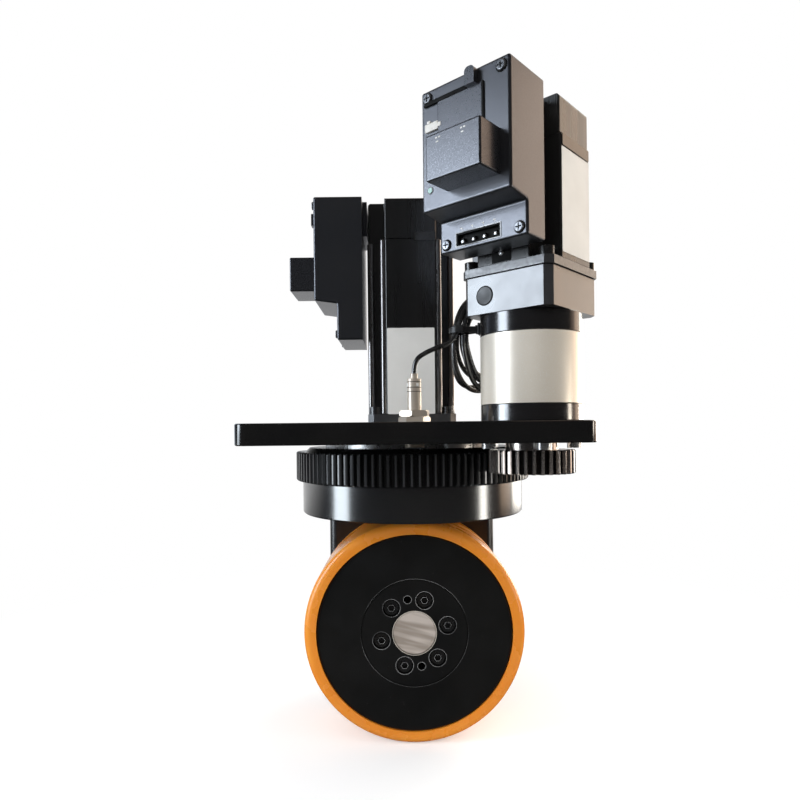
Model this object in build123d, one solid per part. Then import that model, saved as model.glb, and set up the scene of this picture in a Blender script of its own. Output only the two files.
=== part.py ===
from build123d import *
import math
import os

# Steered drive wheel for a vehicle, in millimetres.
# Origin: centre of the chassis bolt pattern, on the plate's top face and on the steering axis.
# +Z is up, and the wheel's outer face looks along -Y.

# Mounting plate
plate_width = 195.0
plate_depth = 248.0
plate_thick = 12.0
plate_corner = 8.0
plate_edge = 0.6
chassis_hole_inset_x = 10.0
chassis_hole_inset_y = 12.0
chassis_hole_r = 4.5
plate_bore_r = 44.0

# Steering gears, and the slewing bearing whose outer ring is the ring gear
gear_module = 1.5
ring_teeth = 108
pinion_teeth = 32
pressure_deg = 20.0
gear_backlash = 0.16
flank_steps = 2
pinion_azimuth = 42.2
ring_gap = 4.0
ring_height = 22.5
ring_raised_r = 76.0
ring_raise = 2.8
tooth_chamfer = 0.7
root_depth = 1.25
bearing_r = 62.0
bearing_play = 0.08
inner_ring_bore_r = 46.5
inner_ring_height = 24.0
race_side = 7.0
race_play = 0.04
slew_screw_count = 8
slew_screw_circle_r = 53.0
slew_screw_azimuth = 22.5
home_mark_r = 5.0
home_mark_depth = 2.0

# Steering pinion and its shaft
pinion_gap = 4.7
pinion_width = 13.9
pinion_hub_r = 15.5
pinion_hub_gap = 0.5
steer_shaft_r = 7.0
shaft_end_gap = 0.6
key_width = 5.0
key_height = 5.0
key_length = 10.0
end_washer_r = 11.0
end_washer_thick = 2.5
end_screw_grip = 12.0
end_recess_play = 0.2

# Drum, which is the upper gear case, and the gear case behind the wheel
drum_r = 78.0
drum_height = 22.6
drum_roof = 5.0
drum_floor = 3.2
drum_edge = 0.8
drum_bolt_count = 8
drum_bolt_circle_r = 69.5
drum_bolt_azimuth = 22.5
drum_bolt_grip = 12.0
case_screw_circle_r = 69.5
case_screw_azimuths = (40.0, 52.0, 128.0, 140.0)
case_screw_grip = 10.0
case_front_y = 36.0
case_corner = 6.0
case_wall = 5.0
case_belly_r = 72.0
case_foot = 3.0
boss_wall = 5.0
bearing_ledge = 0.5
rear_cover_thick = 9.0
rear_cover_seat = 6.0
rear_cover_screw_count = 6
rear_cover_screw_inset = 4.5
rear_cover_screw_azimuth = 30.0

# Motor pedestal on the drum
pedestal_r = 42.0
pedestal_foot_r = 45.5
pedestal_foot_thick = 4.0
pedestal_bore_r = 25.05
pedestal_screw_circle_r = 35.5

# Wheel
wheel_drop = 141.3
tyre_r = 75.0
tyre_width = 65.0
tyre_thick = 8.5
tyre_shoulder = 5.0
hub_recess = 0.8
hub_web = 18.0
hub_rim = 8.0
hub_edge = 1.2
hub_groove_r = 35.5
hub_groove_width = 0.8
hub_groove_depth = 0.6
hub_screw_count = 6
hub_screw_circle_r = 22.9
hub_screw_azimuth = 12.5
hub_screw_grip = 18.0
hub_counterbore_r = 5.85
hub_counterbore_depth = 7.2
jack_hole_r = 2.6
jack_azimuths = (101.5, 281.5)
axle_r = 15.0
axle_end_recess = 0.4
axle_end_chamfer = 0.8
axle_flange_r = 31.0
axle_flange_thick = 11.0
axle_shoulder_r = 21.0

# Axle bearings and seal
front_bearing_bore_r = 17.5
front_bearing_r = 36.0
front_bearing_width = 17.0
rear_bearing_bore_r = 12.5
rear_bearing_r = 23.5
rear_bearing_width = 12.0
seal_width = 7.0
shaft_play = 0.05

# Traction gears: motor pinion, idler and transfer gear, then a bevel pair
motor_teeth = 14
idler_teeth = 17
transfer_teeth = 24
spur_width = 11.0
spur_gap = 1.2
spur_room = 1.0
idler_pin_r = 5.0
idler_pin_head = 0.8
bevel_module = 1.75
bevel_pinion_teeth = 12
crown_teeth = 42
bevel_face = 11.0
bevel_backlash = 0.3
bevel_shift = 0.3
bevel_clearance = 0.2
bevel_room = 0.8
bevel_overrun = 0.2
crown_back = 6.0
crown_hub_length = 9.0
bevel_shaft_r = 7.5
bevel_bearing_r = 14.0
bevel_bearing_width = 7.0
bevel_bearing_gap = 8.0
motor_shaft_r = 7.0
motor_shaft_depth = 5.0

# Steering gearbox
gearbox_r = 30.0
gearbox_yaw = -42.0
collar_height = 10.2
sleeve_height = 40.4
upper_collar_height = 12.1
collar_edge = 0.6
pilot_r = 20.0
pilot_depth = 6.0
gearbox_screw_circle_r = 26.0
gearbox_screw_azimuth = 45.0
gearbox_screw_grip = 20.0
adapter_side = 58.0
adapter_height = 22.2
adapter_corner = 4.0
adapter_edge = 0.6
plug_r = 5.15
plug_across = -13.0
plug_rise = 10.3
plug_depth = 3.0
plug_proud = 0.3
plug_edge = 0.15

# Servo motors: both have one section, and each has its own length
motor_side = 60.0
motor_face = 35.0
motor_edge = 0.8
flange_corner = 4.0
cap_inset = 0.8
cap_edge = 2.0
cap_neck = 1.0
neck_inset = 1.6
flange_screw_half = 24.75
flange_screw_grip = 12.0
flange_pilot_r = 25.0
flange_pilot_height = 3.0
drive_flange_rise = -3.5
drive_flange_thick = 10.0
drive_body_length = 118.5
drive_cap_length = 28.5
steer_flange_thick = 4.7
steer_body_length = 68.4
steer_cap_length = 22.0

# Electronics box on the back of each motor
box_width = 56.8
box_edge = 1.4
saddle_width = 34.0
saddle_height = 24.0
box_seat = 33.0
box_reach = 66.0
step_reach = 50.5
step_slope = 2.2
steer_box_rise = 10.4
steer_step_height = 19.8
steer_box_height = 66.0
drive_box_rise = 61.0
drive_step_height = 27.0
drive_box_height = 70.5
block_width = 34.0
block_reach = 17.4
block_across = 5.3
block_low = 7.6
block_height = 23.4
block_edge = 1.0
header_width = 28.7
header_height = 7.2
header_depth = 3.8
header_across = -2.4
header_rise = 2.2
header_wall = 0.9
header_pins = 4
header_pin_side = 1.4
flap_left = -16.0
flap_right = 12.0
flap_height = 26.0
flap_thick = 1.0
knob_width = 6.0
knob_across = 6.5
knob_height = 9.0
knob_reach = 4.0
knob_round = 0.8
light_r = 1.5
light_across = -22.5
light_rise = 11.0
light_depth = 1.5
light_proud = 0.5
box_screw_across = 23.6
box_screw_drop = 4.8
step_screw_rise = 4.4

# Screws: thread radius, head radius and head height
m3_screw = (1.5, 2.7, 1.4)
m4_screw = (2.0, 3.5, 4.0)
m5_screw = (2.5, 4.25, 4.0)
m5_tall_screw = (2.5, 4.25, 5.0)
m6_screw = (3.0, 5.0, 6.0)
screw_play = 0.15
socket_share = 0.5
cross_width = 0.7
cross_depth = 0.9
pan_round = 0.6
box_screw_grip = 3.0

# Homing sensor in the plate
sensor_x = 0.5
sensor_y = -70.0
sensor_r = 6.0
sensor_gap = 1.0
sensor_cap_r = 4.35
sensor_cap_top = 26.8
sensor_nut_flats = 17.0
sensor_nut_height = 3.8
nut_edge = 0.8
nut_turn = 20.0
boot_r = 2.4
boot_top = 30.0

# Sensor cable: its free stretch, its coil strapped to the gearbox, and its plug lying on the plate
cable_r = 1.5
bend_share = 0.45
cable_route = [(0.5, -70.0, 30.0), (0.5, -70.0, 38.8), (8.5, -69.6, 46.2), (19.5, -68.4, 46.4),
               (26.4, -67.2, 48.4)]
tail_route = [(60.6, -37.4, 35.0), (66.0, -32.5, 13.0), (69.0, -21.0, 5.8), (69.0, -7.0, 5.8)]
coil_loop_r = 27.0
coil_section_r = 5.0
coil_rest = 1.6
coil_shift = 3.0
coil_height = 50.5
strap_height = 57.0
strap_width = 4.5
strap_thick = 1.0
plug_body_r = 5.0
plug_body_length = 22.0
plug_nut_r = 5.8
plug_nut_length = 8.0

# Heights and places worked out from the sizes above
plate_floor = -plate_thick
chassis_hole_x = plate_width / 2 - chassis_hole_inset_x
chassis_hole_y = plate_depth / 2 - chassis_hole_inset_y
ring_top = plate_floor - ring_gap
ring_floor = ring_top - ring_height
teeth_top = ring_top - ring_raise
drum_top = ring_floor
drum_bottom = drum_top - drum_height
roof_floor = drum_top - drum_roof
wheel_z = -wheel_drop
ring_pitch_r = gear_module * ring_teeth / 2
pinion_pitch_r = gear_module * pinion_teeth / 2
gear_centres = ring_pitch_r + pinion_pitch_r
pinion_x = gear_centres * math.sin(math.radians(pinion_azimuth))
pinion_y = -gear_centres * math.cos(math.radians(pinion_azimuth))
pinion_top = plate_floor - pinion_gap
pinion_floor = pinion_top - pinion_width
washer_floor = pinion_floor + m5_screw[2]
washer_top = washer_floor + end_washer_thick
spur_top = roof_floor - spur_gap
spur_floor = spur_top - spur_width
idler_y = gear_module * (motor_teeth + idler_teeth) / 2
bevel_y = idler_y + gear_module * (idler_teeth + transfer_teeth) / 2
bevel_pinion_r = bevel_module * bevel_pinion_teeth / 2
crown_r = bevel_module * crown_teeth / 2
cone_length = math.hypot(bevel_pinion_r, crown_r)
small_end = 1 - bevel_face / cone_length
crown_room_r = crown_r + bevel_module * bevel_shift + bevel_room
case_room_y = case_front_y + case_wall
boss_r = front_bearing_r + boss_wall
front_bearing_y = case_room_y - front_bearing_width
boss_front_y = front_bearing_y - seal_width
hub_front_y = -tyre_width / 2 + hub_recess
flange_front_y = hub_front_y + hub_web
crown_back_y = bevel_y + bevel_pinion_r + crown_back
rear_bearing_y = crown_back_y + bevel_room
tail_y = rear_bearing_y + rear_cover_seat
cover_r = crown_room_r + boss_wall + m4_screw[1]
case_bottom = wheel_z - cover_r - case_foot
case_screw_z = drum_top - m5_screw[2] - screw_play
bevel_bore_low = drum_bottom - 2 * bevel_bearing_width - bevel_bearing_gap
coil_r = gear_centres - gearbox_r - coil_rest - coil_section_r
coil_place = Rot(0, 0, pinion_azimuth - 90) * Pos(coil_r, coil_shift, coil_height)
sleeve_top = collar_height + sleeve_height
gearbox_top = sleeve_top + upper_collar_height
adapter_top = gearbox_top + adapter_height
gearbox_place = Pos(pinion_x, pinion_y, 0) * Rot(0, 0, gearbox_yaw)
on_axle = Pos(0, 0, wheel_z) * Rot(-90, 0, 0)
sensor_place = Pos(sensor_x, sensor_y, 0)


def save(name, shape):
    """Write one piece, or one group of like pieces, under its own name."""
    export_step(shape, f"parts/{name}.step")


def upright(radius, low, high, x=0.0, y=0.0):
    """Cylinder about a vertical line, from height low to height high."""
    return Pos(x, y, low) * Cylinder(radius, high - low, align=(Align.CENTER, Align.CENTER, Align.MIN))


def axle_disc(radius, near, far, x=0.0, z=0.0):
    """Cylinder along Y from near to far, at x and z from the axle's centre."""
    return on_axle * upright(radius, near, far, x, -z)


def slab(x0, x1, y0, y1, z0, z1):
    """Block between two corners."""
    return Pos(x0, y0, z0) * Box(x1 - x0, y1 - y0, z1 - z0, align=(Align.MIN, Align.MIN, Align.MIN))


def turned(points):
    """Solid turned about Z from the points (radius, height) of its half section."""
    return revolve(Plane.XZ * make_face(Polyline(*points, close=True)), Axis.Z)


def tube(outer_r, inner_r, low, high, edge=0.0):
    """Ring about Z, with its outer edges chamfered."""
    points = [(inner_r, low), (outer_r - edge, low), (outer_r, low + edge), (outer_r, high - edge),
              (outer_r - edge, high), (inner_r, high)]
    if edge == 0:
        points = [(inner_r, low), (outer_r, low), (outer_r, high), (inner_r, high)]
    return turned(points)


def spots(count, radius, first=0.0):
    """Points evenly spaced on a circle."""
    return spots_at([first + 360.0 * i / count for i in range(count)], radius)


def spots_at(azimuths, radius):
    """Points on a circle at the given angles."""
    return [(radius * math.cos(math.radians(a)), radius * math.sin(math.radians(a))) for a in azimuths]


def corner_spots(half):
    """The four corners of a square."""
    return [(sx * half, sy * half) for sx in (-1, 1) for sy in (-1, 1)]


def cap_screw(screw, grip):
    """Socket head screw, its head standing on z = 0 and its thread reaching down by grip."""
    thread_r, head_r, head_height = screw
    socket = Pos(0, 0, head_height) * extrude(RegularPolygon(thread_r, 6), -head_height * socket_share)
    return upright(head_r, 0, head_height) + upright(thread_r, -grip, 0) - socket


def pan_screw(screw, grip):
    """Pan head screw with a cross recess, its head standing on z = 0."""
    thread_r, head_r, head_height = screw
    head = upright(head_r, 0, head_height)
    head = fillet(head.edges().sort_by(Axis.Z)[-1], pan_round)
    for turn in (0, 90):
        arm = Box(2 * thread_r + cross_width, cross_width, 2 * cross_depth)
        head -= Pos(0, 0, head_height) * Rot(0, 0, turn) * arm
    return head + upright(thread_r, -grip, 0)


def involute(angle):
    return math.tan(angle) - angle


def flank(teeth, module, tip, root, thickness):
    """Radii and half angles of one tooth's flank, from its root to its tip."""
    pitch_r = module * teeth / 2
    base_r = pitch_r * math.cos(math.radians(pressure_deg))
    start_r = max(base_r, pitch_r - root)
    turn = thickness / 2 / pitch_r + involute(math.radians(pressure_deg))
    radii = [start_r + (pitch_r + tip - start_r) * i / flank_steps for i in range(flank_steps + 1)]
    points = [(r, turn - involute(math.acos(min(1.0, base_r / r)))) for r in radii]
    if pitch_r - root < start_r:
        points.insert(0, (pitch_r - root, points[0][1]))
    return points


def ring_of_teeth(teeth, side, turn):
    """Closed outline made of one tooth's flank, with a tooth centred on the angle turn."""
    points = []
    for i in range(teeth):
        centre = turn + 2 * math.pi * i / teeth
        there = [(r, centre - a) for r, a in side]
        back = [(r, centre + a) for r, a in reversed(side)]
        points += [(r * math.cos(a), r * math.sin(a)) for r, a in there + back]
    return points


def spur_outline(teeth, turn):
    thickness = math.pi * gear_module / 2 - gear_backlash / 2
    side = flank(teeth, gear_module, gear_module, root_depth * gear_module, thickness)
    return make_face(Polyline(*ring_of_teeth(teeth, side, turn), close=True))


def spur_gear(teeth, turn, low, high):
    """Straight gear about Z with the ends of its teeth chamfered."""
    tip_r = gear_module * (teeth / 2 + 1)
    cut = tooth_chamfer
    blank = turned([(0, low), (tip_r - cut, low), (tip_r, low + cut), (tip_r, high - cut),
                    (tip_r - cut, high), (0, high)])
    return blank & (Pos(0, 0, low) * extrude(spur_outline(teeth, turn), high - low))


# Plate and slewing bearing

def slew_screw_spots():
    return spots(slew_screw_count, slew_screw_circle_r, slew_screw_azimuth)


def gearbox_screw_spots():
    """Places of the screws that hold the gearbox down, in the gearbox's own frame."""
    return spots(4, gearbox_screw_circle_r, gearbox_screw_azimuth)


def make_plate():
    outline = RectangleRounded(plate_width, plate_depth, plate_corner)
    plate = Pos(0, 0, plate_floor) * extrude(outline, plate_thick)
    rims = plate.edges().filter_by_position(Axis.Z, 0, 0) + plate.edges().filter_by_position(
        Axis.Z, plate_floor, plate_floor)
    plate = chamfer(rims, plate_edge)
    plate -= upright(plate_bore_r, plate_floor, 0)
    plate -= gearbox_place * upright(pilot_r + shaft_play, plate_floor, 0)
    plate -= sensor_place * upright(sensor_r + shaft_play, plate_floor, 0)
    for x in (-chassis_hole_x, chassis_hole_x):
        for y in (-chassis_hole_y, chassis_hole_y):
            plate -= upright(chassis_hole_r, plate_floor, 0, x, y)
    thread_r, head_r, head_height = m5_screw
    for x, y in slew_screw_spots():
        plate -= upright(thread_r + screw_play, plate_floor, 0, x, y)
        plate -= upright(head_r + screw_play, -head_height, 0, x, y)
    for x, y in gearbox_screw_spots():
        plate -= gearbox_place * upright(thread_r + screw_play, plate_floor, 0, x, y)
    save("mounting_plate", plate)


def race_channel(play):
    """The bearing's square channel between the two rings, stood on its corner."""
    half = race_side / math.sqrt(2) + play
    mid = (ring_top + ring_floor) / 2
    return turned([(bearing_r - half, mid), (bearing_r, mid - half), (bearing_r + half, mid),
                   (bearing_r, mid + half)])


def make_slewing_bearing():
    low = plate_floor - inner_ring_height
    inner = tube(bearing_r - bearing_play / 2, inner_ring_bore_r, low, plate_floor)
    inner -= race_channel(race_play)
    screws = []
    for x, y in slew_screw_spots():
        inner -= upright(m5_screw[0], plate_floor - plate_thick, plate_floor, x, y)
        screws.append(Pos(x, y, -m5_screw[2]) * cap_screw(m5_screw, plate_thick + m5_screw[2]))
    save("slew_inner_ring", inner)
    save("slew_ring_screws", Compound(screws))
    save("slew_roller_ring", race_channel(-race_play))


def make_ring_gear():
    bore_r = bearing_r + bearing_play / 2
    tip_r = ring_pitch_r + gear_module
    cut = tooth_chamfer
    blank = turned([(bore_r, ring_top), (ring_raised_r - ring_raise, ring_top), (ring_raised_r, teeth_top),
                    (tip_r - cut, teeth_top), (tip_r, teeth_top - cut), (tip_r, ring_floor + cut),
                    (tip_r - cut, ring_floor), (bore_r, ring_floor)])
    outline = spur_outline(ring_teeth, math.radians(pinion_azimuth - 90))
    gear = blank & (Pos(0, 0, ring_floor) * extrude(outline, ring_height))
    gear -= race_channel(race_play)
    gear -= sensor_place * upright(home_mark_r, ring_top - home_mark_depth, ring_top)
    for x, y in drum_bolt_spots():
        gear -= upright(m5_screw[0], ring_floor, ring_floor + drum_bolt_grip, x, y)
    save("ring_gear", gear)


def make_steering_pinion():
    place = Pos(pinion_x, pinion_y, 0)
    facing = math.radians(pinion_azimuth + 90)
    hub_top = plate_floor - pinion_hub_gap
    key_low = (washer_top + hub_top - key_length) / 2
    key_far = steer_shaft_r + key_height / 2
    gear = spur_gear(pinion_teeth, facing + math.pi / pinion_teeth, pinion_floor, pinion_top)
    gear += upright(pinion_hub_r, pinion_top, hub_top)
    gear -= upright(steer_shaft_r, pinion_floor, hub_top)
    gear -= upright(end_washer_r + end_recess_play, pinion_floor, washer_top)
    gear -= slab(-key_width / 2, key_width / 2, 0, key_far, pinion_floor, hub_top)
    save("steer_pinion", place * gear)

    key = slab(-key_width / 2, key_width / 2, key_far - key_height, key_far, key_low, key_low + key_length)
    save("steer_shaft_key", place * key)

    shaft = upright(steer_shaft_r, washer_top, collar_height - shaft_end_gap) - key
    shaft -= upright(m5_screw[0], washer_top, washer_top + end_screw_grip)
    save("steer_output_shaft", place * shaft)

    washer = tube(end_washer_r, m5_screw[0], washer_floor, washer_top)
    screw = cap_screw(m5_screw, end_screw_grip + end_washer_thick)
    screw = Pos(0, 0, washer_floor) * Rot(180, 0, 0) * screw
    save("pinion_end_screw", place * Compound([washer, screw]))


# Drum and gear case

def spur_places():
    """Tooth count and place along Y of each straight gear in the drum."""
    return [(motor_teeth, 0.0), (idler_teeth, idler_y), (transfer_teeth, bevel_y)]


def drum_bolt_spots():
    return spots(drum_bolt_count, drum_bolt_circle_r, drum_bolt_azimuth)


def case_screw_spots():
    return spots_at(case_screw_azimuths, case_screw_circle_r)


def pedestal_screw_spots():
    return spots(4, pedestal_screw_circle_r)


def floor_cover(play):
    """Flat cover under the drum's gears, in front of the gear case."""
    reach = gear_module * (idler_teeth / 2 + 1) + spur_room + case_wall - play
    high = drum_bottom + drum_floor
    tongue = slab(-reach, reach, 0, case_front_y - play, drum_bottom, high)
    return upright(reach, drum_bottom, high) + tongue


def make_drum():
    drum = tube(drum_r, motor_shaft_r + spur_room, drum_bottom, drum_top, drum_edge)
    for teeth, y in spur_places():
        drum -= upright(gear_module * (teeth / 2 + 1) + spur_room, drum_bottom, roof_floor, 0, y)
    waist = gear_module * (idler_teeth / 2 + 1)
    drum -= slab(-waist, waist, 0, bevel_y, drum_bottom, roof_floor)
    drum -= floor_cover(0)
    thread_r, head_r, head_height = m5_screw
    for x, y in drum_bolt_spots():
        drum -= upright(thread_r + screw_play, drum_bottom, drum_top, x, y)
        drum -= upright(head_r + screw_play, drum_bottom, roof_floor, x, y)
    for x, y in case_screw_spots():
        drum -= upright(thread_r + screw_play, drum_bottom, drum_top, x, y)
        drum -= upright(head_r + screw_play, case_screw_z, drum_top, x, y)
    for x, y in pedestal_screw_spots():
        drum -= upright(thread_r, roof_floor, drum_top, x, y)
    drum += upright(idler_pin_r, spur_floor - idler_pin_head, roof_floor, 0, idler_y)
    save("drum", drum)
    save("drum_floor_cover", floor_cover(shaft_play))

    bolt = Rot(180, 0, 0) * cap_screw(m5_screw, drum_roof + drum_bolt_grip)
    save("drum_bolts", Compound([Pos(x, y, roof_floor) * bolt for x, y in drum_bolt_spots()]))

    case_screw = cap_screw(m5_screw, case_screw_z - drum_bottom + case_screw_grip)
    screws = [Pos(x, y, case_screw_z) * case_screw for x, y in case_screw_spots()]
    foot_screw = cap_screw(m5_screw, pedestal_foot_thick + drum_roof)
    foot_top = drum_top + pedestal_foot_thick
    screws += [Pos(x, y, foot_top) * foot_screw for x, y in pedestal_screw_spots()]
    save("case_screws", Compound(screws))


def make_pedestal():
    top = drive_flange_rise
    foot_top = drum_top + pedestal_foot_thick
    pedestal = turned([(pedestal_bore_r, drum_top), (pedestal_foot_r, drum_top), (pedestal_foot_r, foot_top),
                       (pedestal_r, foot_top), (pedestal_r, top), (pedestal_bore_r, top)])
    thread_r, head_r, head_height = m5_screw
    for x, y in pedestal_screw_spots():
        pedestal -= upright(thread_r + screw_play, drum_top, top, x, y)
        pedestal -= upright(head_r + screw_play, foot_top, top, x, y)
    for x, y in corner_spots(flange_screw_half):
        pedestal -= upright(thread_r, top - flange_screw_grip, top, x, y)
    save("motor_pedestal", pedestal)


def case_outline():
    """Plan of the gear case: the drum's circle cut flat in front, with rounded corners."""
    plan = Circle(drum_r) & (Pos(0, case_front_y + drum_r) * Rectangle(4 * drum_r, 2 * drum_r))
    return fillet(plan.vertices(), case_corner)


def rear_cover_screw_spots():
    return spots(rear_cover_screw_count, cover_r - rear_cover_screw_inset, rear_cover_screw_azimuth)


def make_gear_case():
    case = Pos(0, 0, case_bottom) * extrude(case_outline(), drum_bottom - case_bottom)
    upper = slab(-drum_r, drum_r, case_front_y, tail_y, wheel_z, drum_bottom)
    case &= upper + axle_disc(case_belly_r, case_front_y, tail_y)
    case += axle_disc(cover_r, case_front_y, tail_y)
    case += axle_disc(boss_r, boss_front_y, case_room_y)
    case -= axle_disc(crown_room_r, case_room_y, tail_y)
    case -= axle_disc(front_bearing_r, boss_front_y, case_room_y)
    case -= upright(bevel_bearing_r, bevel_bore_low, drum_bottom, 0, bevel_y)
    case -= upright(bevel_bearing_r - bearing_ledge, wheel_z, bevel_bore_low, 0, bevel_y)
    for x, y in case_screw_spots():
        case -= upright(m5_screw[0], drum_bottom - case_screw_grip, drum_bottom, x, y)
    for x, z in rear_cover_screw_spots():
        case -= axle_disc(m4_screw[0], tail_y - rear_cover_thick, tail_y, x, z)
    save("gear_case", case)


def make_rear_cover():
    cover_end = tail_y + rear_cover_thick
    cover = tube(cover_r, 0, tail_y, cover_end, drum_edge)
    cover += upright(crown_room_r - shaft_play, rear_bearing_y, tail_y)
    bearing_end = rear_bearing_y + rear_bearing_width
    cover = on_axle * cover - axle_disc(rear_bearing_r, rear_bearing_y, bearing_end)
    screws = []
    for x, z in rear_cover_screw_spots():
        cover -= axle_disc(m4_screw[0] + screw_play, tail_y, cover_end, x, z)
        screws.append(on_axle * Pos(x, -z, cover_end) * cap_screw(m4_screw, 2 * rear_cover_thick))
    save("rear_cover", cover)
    save("rear_cover_screws", Compound(screws))


# Traction gears

def make_spur_train():
    up = math.pi / 2
    shaft_top = drive_flange_rise + motor_shaft_depth
    pinion = spur_gear(motor_teeth, up, spur_floor, spur_top)
    save("motor_pinion", pinion + upright(motor_shaft_r, spur_top, shaft_top))

    idler = spur_gear(idler_teeth, up, spur_floor, spur_top)
    idler -= upright(idler_pin_r + shaft_play, spur_floor, spur_top)
    save("idler_gear", Pos(0, idler_y, 0) * idler)

    transfer = spur_gear(transfer_teeth, up + math.pi / transfer_teeth, spur_floor, spur_top)
    transfer -= upright(bevel_shaft_r, spur_floor, spur_top)
    save("transfer_gear", Pos(0, bevel_y, 0) * transfer)


def bevel_outline(scale):
    """Bevel pinion's outline in the plane through its large end, from the gear it would be if unrolled."""
    lean = math.atan2(bevel_pinion_r, crown_r)
    virtual_teeth = bevel_pinion_teeth / math.cos(lean)
    virtual_r = bevel_module * virtual_teeth / 2
    long_tip = bevel_module * (1 + bevel_shift)
    short_root = bevel_module * (1 - bevel_shift + bevel_clearance)
    thickness = bevel_module * (math.pi / 2 + 2 * bevel_shift * math.tan(math.radians(pressure_deg)))
    side = []
    for r, a in flank(virtual_teeth, bevel_module, long_tip, short_root, thickness - bevel_backlash / 2):
        rise = r - virtual_r
        level = crown_r / (crown_r - rise * math.sin(lean))
        side.append(((bevel_pinion_r + rise * math.cos(lean)) * level * scale, a / math.cos(lean)))
    return make_face(Polyline(*ring_of_teeth(bevel_pinion_teeth, side, math.pi / 2), close=True))


def make_bevel_pinion():
    high = wheel_z + crown_r
    low = wheel_z + crown_r * small_end
    ends = [Pos(0, bevel_y, low) * bevel_outline(small_end), Pos(0, bevel_y, high) * bevel_outline(1.0)]
    gear = loft(ends, ruled=True)
    save("bevel_pinion_shaft", gear + upright(bevel_shaft_r, high, spur_top, 0, bevel_y))

    lower = bevel_bore_low
    upper = drum_bottom - bevel_bearing_width
    rings = [tube(bevel_bearing_r, bevel_shaft_r + shaft_play, z, z + bevel_bearing_width)
             for z in (lower, upper)]
    save("bevel_shaft_bearings", Compound([Pos(0, bevel_y, 0) * ring for ring in rings]))


def crown_point(along, rise):
    """Point (radius, distance from the apex) on the crown gear, rise above its pitch cone."""
    return (along * crown_r + rise * bevel_pinion_r / cone_length,
            along * bevel_pinion_r - rise * crown_r / cone_length)


def crown_gap(along):
    """Cross-section of the gap between two crown teeth, at a share of the cone's length."""
    tan_pressure = math.tan(math.radians(pressure_deg))
    half_pitch = bevel_module * (math.pi / 4 + bevel_shift * tan_pressure) + bevel_backlash / 4
    low = -bevel_module * (1 + bevel_shift + bevel_clearance)
    high = 2 * bevel_module
    corners = []
    for side, rise in ((-1, low), (1, low), (1, high), (-1, high)):
        radius, depth = crown_point(along, rise * along)
        half = (half_pitch + rise * tan_pressure) * along
        corners.append((side * half, -radius, depth))
    return make_face(Polyline(*corners, close=True))


def make_crown_gear():
    tip = bevel_module * (1 - bevel_shift)
    root = bevel_module * (1 + bevel_shift + bevel_clearance)
    back = bevel_pinion_r + crown_back
    outer_tip = crown_point(1.0, tip)
    outer_root = crown_point(1.0, -root)
    inner_tip = crown_point(small_end, tip * small_end)
    hub_front = back - crown_hub_length
    inner_root = (inner_tip[0], hub_front)
    blank = turned([(axle_r, hub_front), inner_root, inner_tip, outer_tip, outer_root, (outer_root[0], back),
                    (axle_r, back)])
    gap = loft([crown_gap(small_end - bevel_overrun), crown_gap(1 + bevel_overrun)], ruled=True)
    gaps = [Rot(0, 0, 360.0 * i / crown_teeth) * gap for i in range(crown_teeth)]
    save("crown_gear", on_axle * Pos(0, 0, bevel_y) * (blank - gaps))


# Wheel and axle

def make_wheel():
    inner_r = tyre_r - tyre_thick
    half = tyre_width / 2
    tyre = tube(tyre_r, inner_r, -half, half)
    shoulders = tyre.edges().filter_by(GeomType.CIRCLE).group_by(SortBy.RADIUS)[-1]
    save("tyre", on_axle * fillet(shoulders, tyre_shoulder))

    hub_back_y = half - hub_recess
    rim_r = inner_r - hub_rim
    hub = turned([(axle_r, hub_front_y), (inner_r - hub_edge, hub_front_y), (inner_r, hub_front_y + hub_edge),
                  (inner_r, hub_back_y), (rim_r, hub_back_y), (rim_r, flange_front_y),
                  (axle_r, flange_front_y)])
    hub -= tube(hub_groove_r + hub_groove_width, hub_groove_r, hub_front_y, hub_front_y + hub_groove_depth)
    seat_y = hub_front_y + hub_counterbore_depth
    screws = []
    for x, y in spots(hub_screw_count, hub_screw_circle_r, -hub_screw_azimuth):
        hub -= upright(m6_screw[0] + screw_play, hub_front_y, flange_front_y, x, y)
        hub -= upright(hub_counterbore_r, hub_front_y, seat_y, x, y)
        screws.append(on_axle * Pos(x, y, seat_y) * Rot(180, 0, 0) * cap_screw(m6_screw, hub_screw_grip))
    for x, y in spots_at([-a for a in jack_azimuths], hub_screw_circle_r):
        hub -= upright(jack_hole_r, hub_front_y, flange_front_y, x, y)
    save("wheel_hub", on_axle * hub)
    save("hub_screws", Compound(screws))


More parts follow.
